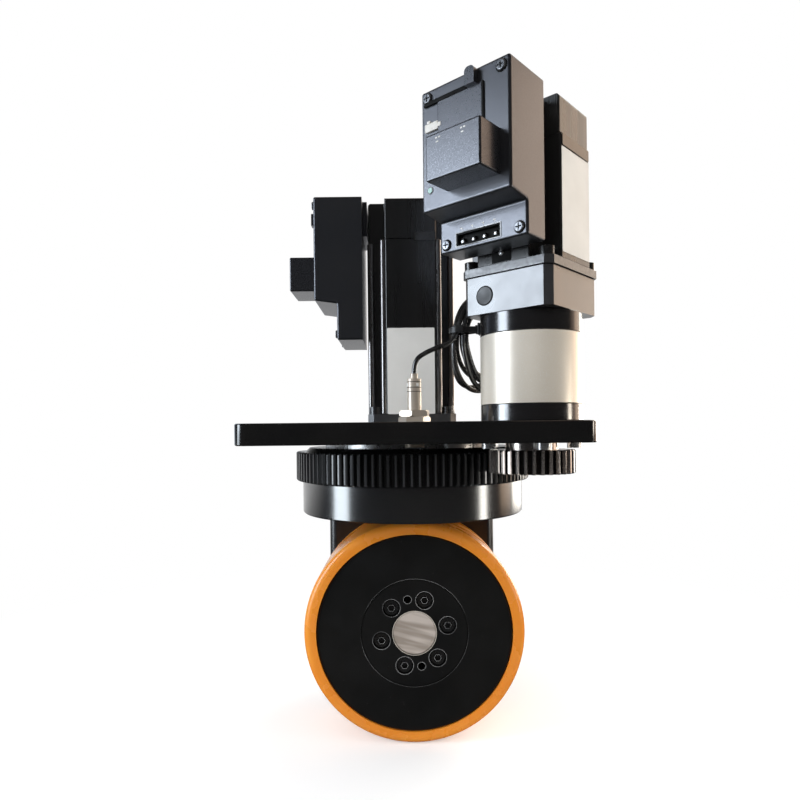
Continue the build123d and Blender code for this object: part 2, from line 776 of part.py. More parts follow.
def make_axle():
    end = hub_front_y + axle_end_recess
    flange_back = flange_front_y + axle_flange_thick
    crown_front_y = crown_back_y - crown_hub_length
    tail = rear_bearing_y + rear_bearing_width - shaft_play
    cut = axle_end_chamfer
    axle = turned([(0, end), (axle_r - cut, end), (axle_r, end + cut),
                   (axle_r, flange_front_y), (axle_flange_r, flange_front_y),
                   (axle_flange_r, flange_back), (axle_shoulder_r, flange_back),
                   (axle_shoulder_r, front_bearing_y), (front_bearing_bore_r, front_bearing_y),
                   (front_bearing_bore_r, crown_front_y), (axle_r, crown_front_y),
                   (axle_r, crown_back_y), (rear_bearing_bore_r, crown_back_y),
                   (rear_bearing_bore_r, tail), (0, tail)])
    screw_end = hub_front_y + hub_counterbore_depth + hub_screw_grip
    for x, y in spots(hub_screw_count, hub_screw_circle_r, -hub_screw_azimuth):
        axle -= upright(m6_screw[0], flange_front_y, min(screw_end, flange_back), x, y)
    save("axle", on_axle * axle)

    front = tube(front_bearing_r, front_bearing_bore_r + shaft_play, front_bearing_y, case_room_y)
    rear_end = rear_bearing_y + rear_bearing_width
    rear = tube(rear_bearing_r, rear_bearing_bore_r + shaft_play, rear_bearing_y, rear_end)
    seal = tube(front_bearing_r, axle_shoulder_r + shaft_play, boss_front_y, front_bearing_y)
    save("axle_front_bearing", on_axle * front)
    save("axle_rear_bearing", on_axle * rear)
    save("axle_seal", on_axle * seal)


# Steering gearbox

def make_gearbox():
    grip = gearbox_screw_grip - plate_thick
    lower = tube(gearbox_r, 0, 0, collar_height, collar_edge) + upright(pilot_r, -pilot_depth, 0)
    lower -= upright(steer_shaft_r + shaft_play, -pilot_depth, collar_height)
    screws = []
    for x, y in gearbox_screw_spots():
        lower -= upright(m5_screw[0], 0, grip, x, y)
        screw = Rot(180, 0, 0) * cap_screw(m5_screw, gearbox_screw_grip)
        screws.append(Pos(x, y, plate_floor) * screw)
    save("gearbox_lower_collar", gearbox_place * lower)
    save("gearbox_screws", gearbox_place * Compound(screws))
    save("gearbox_sleeve", gearbox_place * tube(gearbox_r, 0, collar_height, sleeve_top))
    upper = tube(gearbox_r, 0, sleeve_top, gearbox_top, collar_edge)
    save("gearbox_upper_collar", gearbox_place * upper)


def make_adapter():
    plan = Rectangle(adapter_side, adapter_side)
    plan = chamfer(plan.vertices(), adapter_corner)
    adapter = extrude(plan, adapter_height)
    adapter = chamfer(adapter.faces().sort_by(Axis.Z)[-1].edges(), adapter_edge)
    adapter -= upright(flange_pilot_r + shaft_play, adapter_height - flange_pilot_height, adapter_height)
    for x, y in corner_spots(flange_screw_half):
        adapter -= upright(m5_screw[0], adapter_height - flange_screw_grip, adapter_height, x, y)
    face = Pos(plug_across, -adapter_side / 2, plug_rise) * Rot(90, 0, 0)
    adapter -= face * upright(plug_r, -plug_depth, 0)
    place = gearbox_place * Pos(0, 0, gearbox_top)
    save("motor_adapter", place * adapter)
    save("adapter_plug", place * face * tube(plug_r, 0, -plug_depth, plug_proud, plug_edge))


# Servo motors, drawn standing on z = 0 with their electronics box towards -Y

def notched_square(side):
    """Motor section: a square whose corners are cut back, leaving a flat face on each side."""
    notch = (side - motor_face) / 2
    plan = Rectangle(side, side)
    for x, y in corner_spots(side / 2):
        plan -= Pos(x, y) * Rectangle(2 * notch, 2 * notch)
    return chamfer(plan.vertices(), motor_edge)


def motor_shell(flange_thick, body_length, cap_length):
    """Flange, body and rear cap of a motor."""
    plan = Rectangle(motor_side, motor_side)
    flange = extrude(chamfer(plan.vertices(), flange_corner), flange_thick)
    flange += upright(flange_pilot_r, -flange_pilot_height, 0)
    for x, y in corner_spots(flange_screw_half):
        flange -= upright(m5_screw[0] + screw_play, 0, flange_thick, x, y)
    body = Pos(0, 0, flange_thick) * extrude(notched_square(motor_side), body_length)
    cap_low = flange_thick + body_length
    neck = Pos(0, 0, cap_low) * extrude(notched_square(motor_side - 2 * neck_inset), cap_neck)
    cap_side = motor_side - 2 * cap_inset
    cap_height = cap_length - cap_neck
    dome = extrude(Rectangle(cap_side, cap_side), cap_height)
    dome = fillet(dome.faces().sort_by(Axis.Z)[-1].edges(), cap_edge)
    cap = Pos(0, 0, cap_low + cap_neck) * (dome & extrude(notched_square(cap_side), cap_height))
    return flange, body, cap + neck


def box_profile(low, step_height, box_height):
    """Side view (depth, height) of the electronics box: a shallow foot and a deeper upper part."""
    step = low + step_height
    top = step + box_height
    return [(-box_seat, low), (-step_reach, low), (-step_reach, step - step_slope), (-box_reach, step),
            (-box_reach, top), (-box_seat, top)]


def box_screw_spots(low, step_height, box_height):
    """Place (x, depth, z) of each screw on the box."""
    top = low + step_height + box_height - box_screw_drop
    foot = low + step_screw_rise
    upper = [(sx * box_screw_across, -box_reach, top) for sx in (-1, 1)]
    return upper + [(sx * box_screw_across, -step_reach, foot) for sx in (-1, 1)]


def electronics_box(low, step_height, box_height):
    step = low + step_height
    outline = make_face(Polyline(*box_profile(low, step_height, box_height), close=True))
    box = Plane.YZ * outline
    box = extrude(box, box_width / 2, both=True)
    outer = box.edges().filter_by(lambda e: e.center().Y < -box_seat - box_edge / 2)
    box = fillet(outer, box_edge)
    saddle = saddle_width / 2
    top = step + box_height
    box += slab(-saddle, saddle, -box_seat, -motor_side / 2, top - saddle_height, top)
    x0 = header_across - header_width / 2
    z0 = low + header_rise
    box -= slab(x0, x0 + header_width, -step_reach, -step_reach + header_depth, z0, z0 + header_height)
    box -= lamp(step, 0)
    for x, y, z in box_screw_spots(low, step_height, box_height):
        box -= Pos(x, y, z) * Rot(90, 0, 0) * upright(m3_screw[0], -box_screw_grip, 0)
    return box


def lamp(step, proud):
    """Status light on the face of the upper box."""
    seat = Pos(light_across, -box_reach, step + light_rise) * Rot(90, 0, 0)
    return seat * upright(light_r, -light_depth, proud)


def power_header(low):
    """Plug socket in the foot of the box, with its pins standing on its floor."""
    x0 = header_across - header_width / 2
    x1 = x0 + header_width
    z0 = low + header_rise
    z1 = z0 + header_height
    front = -step_reach
    floor = front + header_depth - header_wall
    header = slab(x0, x1, front, front + header_depth, z0, z1)
    header -= slab(x0 + header_wall, x1 - header_wall, front, floor, z0 + header_wall, z1 - header_wall)
    half = header_pin_side / 2
    for i in range(header_pins):
        x = x0 + header_width * (i + 0.5) / header_pins
        z = (z0 + z1) / 2
        header += slab(x - half, x + half, front + header_wall, floor, z - half, z + half)
    return header


def terminal_block(step):
    """Plug-in block on the face of the box, with the flap above it and the knob that lifts the flap."""
    low = step + block_low
    high = low + block_height
    left = block_across - block_width / 2
    block = slab(left, left + block_width, -box_reach - block_reach, -box_reach, low, high)
    outer = block.edges().filter_by(lambda e: e.center().Y < -box_reach - block_edge)
    block = fillet(outer, block_edge)
    flap_top = high + flap_height
    block += slab(flap_left, flap_right, -box_reach - flap_thick, -box_reach, high, flap_top)
    half = knob_width / 2
    knob = slab(knob_across - half, knob_across + half, -box_reach - knob_reach, -box_reach, flap_top,
                flap_top + knob_height)
    rims = knob.edges().filter_by(Axis.Y).group_by(Axis.Z)[-1]
    return block + fillet(rims, half * knob_round)


def make_servo(name, place, flange_thick, body_length, cap_length, rise, step_height, box_height):
    flange, body, cap = motor_shell(flange_thick, body_length, cap_length)
    flange_screw = cap_screw(m5_tall_screw, flange_screw_grip + flange_thick)
    flange_screws = [Pos(x, y, flange_thick) * flange_screw for x, y in corner_spots(flange_screw_half)]
    step = rise + step_height
    box_screw = Rot(90, 0, 0) * pan_screw(m3_screw, box_screw_grip)
    box_screws = [Pos(*spot) * box_screw for spot in box_screw_spots(rise, step_height, box_height)]
    shapes = {"flange": flange, "body": body, "cap": cap, "flange_screws": Compound(flange_screws),
              "box": electronics_box(rise, step_height, box_height), "box_screws": Compound(box_screws),
              "terminal_block": terminal_block(step), "power_header": power_header(rise),
              "status_light": lamp(step, light_proud)}
    if name == "drive_motor":
        shapes["flange"] -= upright(motor_shaft_r + shaft_play, -flange_pilot_height, motor_shaft_depth)
    for kind, shape in shapes.items():
        save(f"{name}_{kind}", place * shape)


def make_motors():
    drive_place = Pos(0, 0, drive_flange_rise) * Rot(0, 0, -90)
    make_servo("drive_motor", drive_place, drive_flange_thick, drive_body_length, drive_cap_length,
               drive_box_rise, drive_step_height, drive_box_height)
    steer_place = gearbox_place * Pos(0, 0, adapter_top)
    make_servo("steer_motor", steer_place, steer_flange_thick, steer_body_length, steer_cap_length,
               steer_box_rise, steer_step_height, steer_box_height)


# Homing sensor, its cable, coil and plug

def make_sensor():
    thread_top = 2 * sensor_nut_height
    tip = ring_top + sensor_gap
    barrel = turned([(0, tip), (sensor_r, tip), (sensor_r, thread_top), (sensor_cap_r, thread_top),
                     (sensor_cap_r, sensor_cap_top), (0, sensor_cap_top)])
    boot = upright(boot_r, sensor_cap_top, boot_top)
    save("sensor_barrel", sensor_place * Compound([barrel, boot]))
    nut = extrude(RegularPolygon(sensor_nut_flats / 2, 6, major_radius=False), sensor_nut_height)
    corner_r = sensor_nut_flats / math.sqrt(3)
    nut &= tube(corner_r, 0, 0, sensor_nut_height, nut_edge)
    nut -= upright(sensor_r, 0, sensor_nut_height)
    nuts = [Pos(0, 0, i * sensor_nut_height) * Rot(0, 0, nut_turn * i) * nut for i in range(2)]
    save("sensor_nuts", sensor_place * Compound(nuts))


def corner_radii(points):
    """Radius of the bend at each inner point of a route."""
    radii = []
    for a, b, c in zip(points, points[1:], points[2:]):
        before = Vector(*b) - Vector(*a)
        after = Vector(*c) - Vector(*b)
        half_turn = math.radians(before.get_angle(after) / 2)
        radii.append(bend_share * min(before.length, after.length) / math.tan(half_turn))
    return radii


def cable_run(route):
    """Round cable along a route, with its smallest bend and its volume checked against its length."""
    radii = corner_radii(route)
    path = FilletPolyline(*route, radius=radii)
    cable = sweep(Plane(origin=path @ 0, z_dir=path % 0) * Circle(cable_r), path=path)
    share = cable.volume / (math.pi * cable_r ** 2 * path.length)
    bends = [round(r, 1) for r in radii]
    print("cable bends", bends, "length", round(path.length, 1), "volume share", round(share, 4))
    return cable


def make_cable():
    save("sensor_cable", Compound([cable_run(cable_route), cable_run(tail_route)]))


def make_coil():
    save("sensor_cable_coil", coil_place * Rot(0, 90, 0) * Torus(coil_loop_r, coil_section_r))

    across = math.sqrt(coil_loop_r ** 2 - (strap_height - coil_height) ** 2)
    near = coil_r - gear_centres
    outlines = []
    for thick in (strap_thick, 0):
        rounds = [Circle(gearbox_r + thick)]
        for side in (-1, 1):
            rounds.append(Pos(near, coil_shift + side * across) * Circle(coil_section_r + thick))
        outlines.append(make_hull([edge for plan in rounds for edge in plan.edges()]))
    strap = extrude(outlines[0] - outlines[1], strap_width / 2, both=True)
    save("cable_tie", Pos(pinion_x, pinion_y, strap_height) * Rot(0, 0, pinion_azimuth - 90) * strap)

    plug = upright(plug_body_r, 0, plug_body_length)
    plug += upright(plug_nut_r, plug_body_length, plug_body_length + plug_nut_length)
    save("sensor_plug", Pos(*tail_route[-1]) * Rot(-90, 0, 0) * plug)


if __name__ == "__main__":
    os.makedirs("parts", exist_ok=True)
    make_plate()
    make_slewing_bearing()
    make_ring_gear()
    make_steering_pinion()
    make_drum()
    make_pedestal()
    make_gear_case()
    make_rear_cover()
    make_spur_train()
    make_bevel_pinion()
    make_crown_gear()
    make_wheel()
    make_axle()
    make_gearbox()
    make_adapter()
    make_motors()
    make_sensor()
    make_cable()
    make_coil()
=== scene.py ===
import math

import bmesh
import bpy
from mathutils import Matrix, Vector


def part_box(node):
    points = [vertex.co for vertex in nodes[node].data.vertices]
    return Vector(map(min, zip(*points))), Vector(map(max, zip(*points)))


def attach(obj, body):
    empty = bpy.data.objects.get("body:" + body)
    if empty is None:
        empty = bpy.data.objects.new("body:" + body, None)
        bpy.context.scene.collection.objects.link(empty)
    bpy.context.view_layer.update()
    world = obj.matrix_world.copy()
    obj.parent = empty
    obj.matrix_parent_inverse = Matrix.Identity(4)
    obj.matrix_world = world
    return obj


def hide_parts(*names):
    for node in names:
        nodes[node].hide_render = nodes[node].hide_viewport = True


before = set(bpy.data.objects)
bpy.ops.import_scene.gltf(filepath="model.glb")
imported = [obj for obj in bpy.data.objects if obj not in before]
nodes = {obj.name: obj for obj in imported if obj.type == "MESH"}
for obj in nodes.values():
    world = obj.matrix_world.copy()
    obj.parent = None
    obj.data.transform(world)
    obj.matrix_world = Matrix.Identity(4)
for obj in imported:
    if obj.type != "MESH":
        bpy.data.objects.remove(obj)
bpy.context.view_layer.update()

MM = 0.001

# Where the solids are, in millimetres and degrees. The steering axis is Z, through the frame's origin.
WHEEL_Z = -141.3
TYRE_R = 75.0
HUB_FACE_Y = -31.7
HUB_SCREW_CIRCLE_R = 22.9
HUB_SCREW_AZIMUTH = 12.5
JACK_AZIMUTHS = (101.5, 281.5)
GEAR_CENTRES = 105.0
PINION_AXIS = (70.53, -77.79)
STEER_MOTOR_YAW = -42
GEARBOX_R = 30.0
ADAPTER_FLOOR = 62.7
STEER_FLANGE_FLOOR = 84.9
DRIVE_FLANGE_FLOOR = -3.5
SENSOR_AXIS = (0.5, -70.0)

# Edges that turn by more than this many degrees stay sharp
SHARP_ON_NODES = 28
SHARP_ON_PIECES = 32


# Helpers

def new_object(name, data):
    thing = bpy.data.objects.new(name, data)
    bpy.context.scene.collection.objects.link(thing)
    return thing


def shift(x, y, z):
    return Matrix.Translation((x, y, z))


def turn(degrees, axis="Z"):
    return Matrix.Rotation(math.radians(degrees), 4, axis)


def round_axis(radius, degrees):
    """Step from an axis to a point round it."""
    a = math.radians(degrees)
    return shift(radius * math.cos(a), radius * math.sin(a), 0)


def shade(data, sharp_from):
    data.shade_smooth()
    data.set_sharp_from_angle(angle=math.radians(sharp_from))


FACING_FRONT = turn(90, "X")  # turns a placement's Z towards -Y


class Shape:
    """A mesh built from simple solids, in millimetres, then placed in metres."""

    def __init__(self):
        self.mesh = bmesh.new()

    def add(self, verts, faces, place):
        made = [self.mesh.verts.new(place @ Vector(v)) for v in verts]
        for face in faces:
            self.mesh.faces.new([made[i] for i in face])
        return self

    def block(self, low, high, place, bevel=0.0):
        """Box between two corners, with its edges bevelled."""
        part = bmesh.new()
        bmesh.ops.create_cube(part, size=1.0)
        size = Vector(high) - Vector(low)
        middle = (Vector(high) + Vector(low)) / 2
        bmesh.ops.transform(part, matrix=shift(*middle) @ Matrix.Diagonal((*size, 1)), verts=part.verts)
        if bevel:
            bmesh.ops.bevel(part, geom=part.edges, offset=bevel, segments=2, profile=0.6, affect="EDGES")
        return self.join(part, place)

    def lathe(self, outline, place, steps=48, wave=None):
        """Solid turned round Z from (radius, height) points that end on the axis or where they start."""
        part = bmesh.new()
        rings = []
        for radius, height in outline:
            if radius == 0:
                rings.append([part.verts.new((0, 0, height))])
                continue
            verts = []
            for i in range(steps):
                angle = math.tau * i / steps
                r = radius * (wave(height, angle) if wave else 1)
                verts.append(part.verts.new((r * math.cos(angle), r * math.sin(angle), height)))
            rings.append(verts)
        for lower, upper in zip(rings, rings[1:]):
            for i in range(steps):
                j = (i + 1) % steps
                corners = [lower[i % len(lower)], lower[j % len(lower)],
                           upper[j % len(upper)], upper[i % len(upper)]]
                face = list(dict.fromkeys(corners))
                if len(face) > 2:
                    part.faces.new(face)
        return self.join(part, place)

    def join(self, part, place):
        bmesh.ops.recalc_face_normals(part, faces=part.faces)
        bmesh.ops.transform(part, matrix=place, verts=part.verts)
        data = bpy.data.meshes.new("part")
        part.to_mesh(data)
        part.free()
        self.mesh.from_mesh(data)
        bpy.data.meshes.remove(data)
        return self

    def piece(self, name, finish, body, slot):
        data = bpy.data.meshes.new(name)
        bmesh.ops.transform(self.mesh, matrix=Matrix.Scale(MM, 4), verts=self.mesh.verts)
        self.mesh.to_mesh(data)
        self.mesh.free()
        shade(data, SHARP_ON_PIECES)
        data.materials.append(finish.material)
        thing = new_object(name, data)
        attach(thing, body)
        return thing


# Camera, which stands where the photograph was taken from

camera = new_object("camera", bpy.data.cameras.new("camera"))
camera.location = (-0.0084, -0.4518, -0.0043)
camera.rotation_euler = (math.radians(90), math.radians(0.6), 0)
camera.data.sensor_width = 36
camera.data.lens = 28.035
camera.data.shift_y = 0.0375
camera.data.clip_start = 0.01
camera.data.clip_end = 60
bpy.context.scene.camera = camera
bpy.context.scene.view_settings.view_transform = "Standard"


# Sensor cord: its free stretch, the coil tied beside the gearbox, and the tail to the plug

CORD_DIAMETER = 3.0
CORD_EXIT = (*SENSOR_AXIS, 30.0)
CABLE_ROUTE = [CORD_EXIT, (0.8, -70.0, 38.2), (7.4, -70.4, 42.8), (15.6, -70.6, 46.2), (22.6, -70.2, 48.4),
               (26.6, -68.6, 53.4)]
COIL_TAIL = [(68.0, 27.2, 13.0), (68.2, 25.4, 26.0)]  # out, across and down, as in by_coil
TAIL_ROUTE = [(66.0, -32.5, 13.0), (69.0, -21.0, 5.8), (69.0, -7.0, 5.8)]
COIL_ALONG = Vector((0.6717, -0.7408, 0))  # from the steering axis to the gearbox
COIL_ACROSS = Vector((0.7408, 0.6717, 0))
COIL_REACH = 67.2
COIL_SHIFT = 3.0
COIL_HEIGHT = 50.5
COIL_LOOP_R = 27.4
COIL_SLOTS = 8
COIL_SLOT_R = 4.0
COIL_STEPS = 16
COIL_TURNS = 7.5
FIRST_SLOT = math.radians(22.5)
SLOT_CHANGE_START, SLOT_CHANGE_SHARE = 0.7, 0.26
LOOSE_TURNS = (2, 5)
SAG, SAG_AT, SAG_WIDTH, SAG_OF_TIGHT_TURNS = 6.5, 0.85, 0.05, 0.1
LEFT_SIDE_FLATNESS = 0.9
LOOSENESS = [(0.0, 1.06), (0.04, 1.0), (0.125, 1.12), (0.25, 1.16), (0.46, 1.02), (0.54, 1.06), (0.7, 1.3),
             (0.82, 1.5), (0.93, 1.4), (1.0, 1.06)]


def looseness(share):
    """How far the turns spread: tight at the ties, loose in the lower half. share is 0 at the left leg."""
    for (a, low), (b, high) in zip(LOOSENESS, LOOSENESS[1:]):
        if share <= b:
            return low + (high - low) * (share - a) / (b - a)
    return LOOSENESS[-1][1]


def by_coil(out, across, height):
    """Point so far out from the steering axis towards the gearbox, and so far across that way."""
    place = COIL_ALONG * out + COIL_ACROSS * across
    return Vector((place.x, place.y, height))


def coil_point(turns):
    """Point of the coil after so many turns, from the left leg up, over and down the right leg."""
    whole, share = divmod(turns, 1.0)
    moved = max(0.0, (share - SLOT_CHANGE_START) / SLOT_CHANGE_SHARE)
    slot_now = whole + min(1.0, moved)
    angle = FIRST_SLOT + math.tau * slot_now / COIL_SLOTS
    spread = COIL_SLOT_R * looseness(share)
    theta = math.tau * share
    sag = SAG * math.exp(-((share - SAG_AT) / SAG_WIDTH) ** 2)
    if int(whole) not in LOOSE_TURNS:
        sag *= SAG_OF_TIGHT_TURNS
    round_r = COIL_LOOP_R + spread * math.cos(angle) + sag
    flatness = LEFT_SIDE_FLATNESS if math.cos(theta) > 0 else 1.0
    return by_coil(COIL_REACH + spread * math.sin(angle), COIL_SHIFT - round_r * math.cos(theta) * flatness,
                   COIL_HEIGHT + round_r * math.sin(theta))


def cord_points():
    """Points of the cord's centreline, from the sensor to the plug."""
    points = [Vector(p) for p in CABLE_ROUTE]
    points += [coil_point(i / COIL_STEPS) for i in range(1, int(COIL_TURNS * COIL_STEPS) + 1)]
    points += [by_coil(out, COIL_SHIFT + across, COIL_HEIGHT - down) for out, across, down in COIL_TAIL]
    return points + [Vector(p) for p in TAIL_ROUTE]


def make_cord(name, points, radius):
    data = bpy.data.curves.new(name, "CURVE")
    data.dimensions = "3D"
    data.resolution_u = 6
    data.bevel_depth = radius * MM
    data.bevel_resolution = 5
    data.use_fill_caps = True
    spline = data.splines.new("NURBS")
    spline.points.add(len(points) - 1)
    for target, point in zip(spline.points, points):
        target.co = (*(point * MM), 1)
    spline.order_u = 3
    spline.use_endpoint_u = True
    return new_object(name, data)


# Finishes

class Tree:
    """The shader nodes of a material or of the world. An input is a value or another node's output."""

    def __init__(self, owner):
        owner.use_nodes = True
        self.nodes, self.links = owner.node_tree.nodes, owner.node_tree.links

    def feed(self, socket, value):
        if isinstance(value, bpy.types.NodeSocket):
            self.links.new(value, socket)
        else:
            socket.default_value = value

    def node(self, kind, *inputs, **settings):
        made = self.nodes.new(kind)
        for key, value in settings.items():
            setattr(made, key, value)
        for socket, value in zip(made.inputs, inputs):
            self.feed(socket, value)
        return made

    def maths(self, operation, a, b=0.0):
        return self.node("ShaderNodeMath", a, b, operation=operation).outputs[0]

    def vector_maths(self, operation, *inputs):
        return self.node("ShaderNodeVectorMath", *inputs, operation=operation).outputs

    def part(self, vector, axis):
        return self.node("ShaderNodeSeparateXYZ", vector).outputs[axis]

    def span(self, value, from_low, from_high, to_low, to_high, **settings):
        """Value moved from one range to another, and held at its ends."""
        numbers = (from_low, from_high, to_low, to_high)
        return self.node("ShaderNodeMapRange", value, *numbers, **settings).outputs[0]

    def mix_colours(self, fac, a, b):
        mix = self.node("ShaderNodeMix", fac, data_type="RGBA")
        self.feed(mix.inputs[6], a)
        self.feed(mix.inputs[7], b)
        return mix.outputs[2]

    def ramp(self, value, stops):
        node = self.node("ShaderNodeValToRGB", value)
        elements = node.color_ramp.elements
        for i, (position, colour) in enumerate(stops):
            element = elements[i] if i < len(elements) else elements.new(position)
            element.position = position
            element.color = (*colour, 1)
        return node.outputs["Color"]

    def shader(self, kind, *inputs):
        return self.node(kind, *inputs).outputs[0]


class Finish(Tree):
    """A material: one Principled shader, and the textures that feed it."""

    def __init__(self, name, colour, rough, metal=0.0, **sockets):
        self.material = bpy.data.materials.new(name)
        super().__init__(self.material)
        self.surface = self.nodes["Principled BSDF"]
        self.colour = colour
        self.set("Base Color", (*colour, 1))
        self.set("Roughness", rough)
        self.set("Metallic", metal)
        for socket, value in sockets.items():
            self.set(socket.replace("_", " "), value)
        self.place = self.node("ShaderNodeTexCoord").outputs["Object"]
        self.normal = None

    def set(self, socket, value):
        self.feed(self.surface.inputs[socket], value)

    def noise(self, scale, stretch=(1, 1, 1), slope=0.0, detail=2.0, rough=0.5):
        """Noise stretched along the axes, after a turn about Y by slope in degrees."""
        turned = self.node("ShaderNodeMapping", self.place, (0, 0, 0), (0, math.radians(slope), 0)).outputs[0]
        stretched = self.node("ShaderNodeMapping", turned, (0, 0, 0), (0, 0, 0), stretch).outputs[0]
        noise = self.node("ShaderNodeTexNoise", stretched)
        for socket, value in (("Scale", scale), ("Detail", detail), ("Roughness", rough)):
            noise.inputs[socket].default_value = value
        return noise.outputs["Fac"]

    def radius(self, axis, centre=(0, 0, 0)):
        """Distance from an axis line, in millimetres."""
        shifted = self.vector_maths("SUBTRACT", self.place, Vector(centre) * MM)[0]
        flat = self.vector_maths("MULTIPLY", shifted, [0.0 if k == axis else 1 / MM for k in range(3)])[0]
        return self.vector_maths("LENGTH", flat)["Value"]

    def along(self, axis):
        """Coordinate along an axis, in millimetres."""
        return self.maths("MULTIPLY", self.part(self.place, axis), 1 / MM)

    def tint(self, fac, other, low=0.35, high=0.65):
        """Mix the base colour towards another where fac is high."""
        base = self.surface.inputs["Base Color"]
        before = base.links[0].from_socket if base.is_linked else (*self.colour, 1)
        self.links.new(self.mix_colours(self.span(fac, low, high, 0.0, 1.0), before, (*other, 1)), base)
        return self

    def mottle(self, fac, low, high, from_low=0.35, from_high=0.65):
        """Roughness that changes with fac."""
        self.set("Roughness", self.span(fac, from_low, from_high, low, high))
        return self

    def bump(self, height, depth, strength=1.0):
        """Bump of a depth in millimetres, on top of the bumps before it."""
        node = self.node("ShaderNodeBump")
        node.inputs["Strength"].default_value = strength
        node.inputs["Distance"].default_value = depth * MM
        self.links.new(height, node.inputs["Height"])
        if self.normal is not None:
            self.links.new(self.normal, node.inputs["Normal"])
        self.normal = node.outputs["Normal"]
        self.set("Normal", self.normal)
        return self


def black_metal(name, colour, rough, ior, grain=900, depth=0.004):
    """Oxidised or anodised black metal, with a faint brown cast and a fine grain."""
    finish = Finish(name, colour, rough, IOR=ior)
    finish.tint(finish.noise(38, detail=4), (0.0095, 0.0088, 0.0082))
    finish.mottle(finish.noise(120, detail=3), rough * 0.82, rough * 1.2)
    return finish.bump(finish.noise(grain, detail=2), depth)


def steel(name, colour, rough, metal, stretch=(1, 1, 1), grain=700, depth=0.004):
    """Bare or plated steel, with a faint cloud and a fine grain."""
    finish = Finish(name, colour, rough, metal)
    finish.tint(finish.noise(60, stretch, detail=4), [c * 0.72 for c in colour])
    finish.mottle(finish.noise(160, stretch, detail=3), rough * 0.75, rough * 1.3)
    return finish.bump(finish.noise(grain, stretch, detail=2), depth)


def make_finishes():
    return {
        "plate": plate_finish(),
        "ring": gear_finish(),
        "pinion": pinion_finish(),
        "bearing": steel("bearing_steel", (0.5, 0.5, 0.5), 0.28, 0.8),
        "shaft": steel("shaft_steel", (0.42, 0.42, 0.42), 0.3, 0.85),
        "screw_black": black_metal("screw_black", (0.008, 0.008, 0.0082), 0.26, 1.8, 1600, 0.003),
        "screw_zinc": steel("screw_zinc", (0.62, 0.62, 0.62), 0.24, 0.75, grain=1500, depth=0.002),
        "screw_dark": steel("screw_dark", (0.30, 0.31, 0.33), 0.34, 0.85, grain=1600, depth=0.003),
        "drum": drum_finish(),
        "case": black_metal("case_black", (0.0055, 0.0056, 0.006), 0.34, 1.8),
        "hub": hub_finish(),
        "tyre": tyre_finish(),
        "gearbox": collar_finish(),
        "adapter": adapter_finish(),
        "sleeve": sleeve_finish(),
        "motor": motor_finish(),
        "cast": cast_finish(),
        "box": box_finish("box_black", 2.15, 0.34),
        "block": box_finish("block_black", 2.1, 0.31),
        "lens": lens_finish(),
        "nickel": nickel_finish(),
        "plug": black_metal("plug_black", (0.012, 0.0125, 0.014), 0.42, 1.6),
        "rubber": rubber_finish(),
        "jacket": jacket_finish(),
        "nylon": nylon_finish(),
        "axle": axle_finish(),
        "label": label_finish(),
        "window": window_finish(),
        "white": white_finish(),
        "shadow": shadow_finish(),
        "wear_and_highlight": wear_and_highlight_finish(),
        "rib": steel("drawn_edge", (0.32, 0.305, 0.30), 0.3, 0.95, (1, 1, 0.05), grain=900, depth=0.001),
        "knurl": steel("knurled_nickel", (0.6, 0.58, 0.54), 0.28, 0.75, grain=1600),
    }


def plate_finish():
    """Black anodised plate: a faint cloud, a fine satin grain, and smoother machined edges below its top."""
    finish = Finish("plate_black", (0.0058, 0.0058, 0.006), 0.2, IOR=1.6)
    finish.tint(finish.noise(26, detail=4), (0.0085, 0.0082, 0.008))
    finish.mottle(finish.along(2), 0.1, 0.2, -0.5, -0.1)
    return finish.bump(finish.noise(1500, detail=2), 0.0015)


def gear_finish():
    """Black oxidised teeth, with a bright line along the edges of their tips, partly rubbed metal and partly
    painted highlight.
    """
    finish = Finish("ring_gear_black", (0.006, 0.006, 0.0062), 0.2, IOR=1.75)
    r = finish.radius(2)
    # Painted highlight and wear: towards the tips the colour lightens and turns metallic.
    rise = finish.span(r, 80.6, 82.0, 0.0, 1.0)
    wear_and_highlight = finish.maths("MULTIPLY", rise, finish.span(finish.noise(60, (1, 1, 0.2)), 0.3, 0.6, 0.5, 1.0))
    finish.tint(wear_and_highlight, (0.055, 0.055, 0.058), 0.3, 1.0)
    finish.set("Metallic", finish.span(wear_and_highlight, 0.3, 1.0, 0.0, 0.5))
    finish.mottle(finish.noise(120, (1, 1, 0.1), detail=2), 0.15, 0.24)
    return finish.bump(finish.noise(900, (1, 1, 0.04)), 0.001)


def pinion_finish():
    """Steel pinion: bright on the tips of its teeth, and darker towards their roots with painted shade."""
    finish = Finish("pinion_steel", (0.70, 0.64, 0.60), 0.2, 0.9)
    r = finish.radius(2, (*PINION_AXIS, 0))
    finish.tint(finish.noise(60, (1, 1, 0.1), detail=4), (0.52, 0.47, 0.44))
    below_tips = finish.span(r, 23.4, 25.0, 1.0, 0.0)
    # Painted shade: the colour darkens below the tips, down towards the roots, where shade falls between the
    # teeth.
    root_shade = finish.maths("MULTIPLY", finish.span(r, 16.5, 18.0, 0.0, 1.0), below_tips)
    finish.tint(root_shade, (0.05, 0.042, 0.04), 0.0, 1.0)
    finish.mottle(finish.noise(160, (1, 1, 0.1), detail=3), 0.15, 0.26)
    return finish.bump(finish.noise(1200, (1, 1, 0.1), detail=2), 0.002)


def collar_finish():
    """Gloss black anodised collar with a hint of turning marks."""
    finish = Finish("gearbox_black", (0.007, 0.0068, 0.0072), 0.18, IOR=2.1)
    finish.tint(finish.noise(30, detail=4), (0.010, 0.009, 0.009))
    finish.mottle(finish.noise(20, (0.05, 0.05, 40), detail=2), 0.15, 0.21)
    return finish.bump(finish.noise(1400, detail=2), 0.0012)


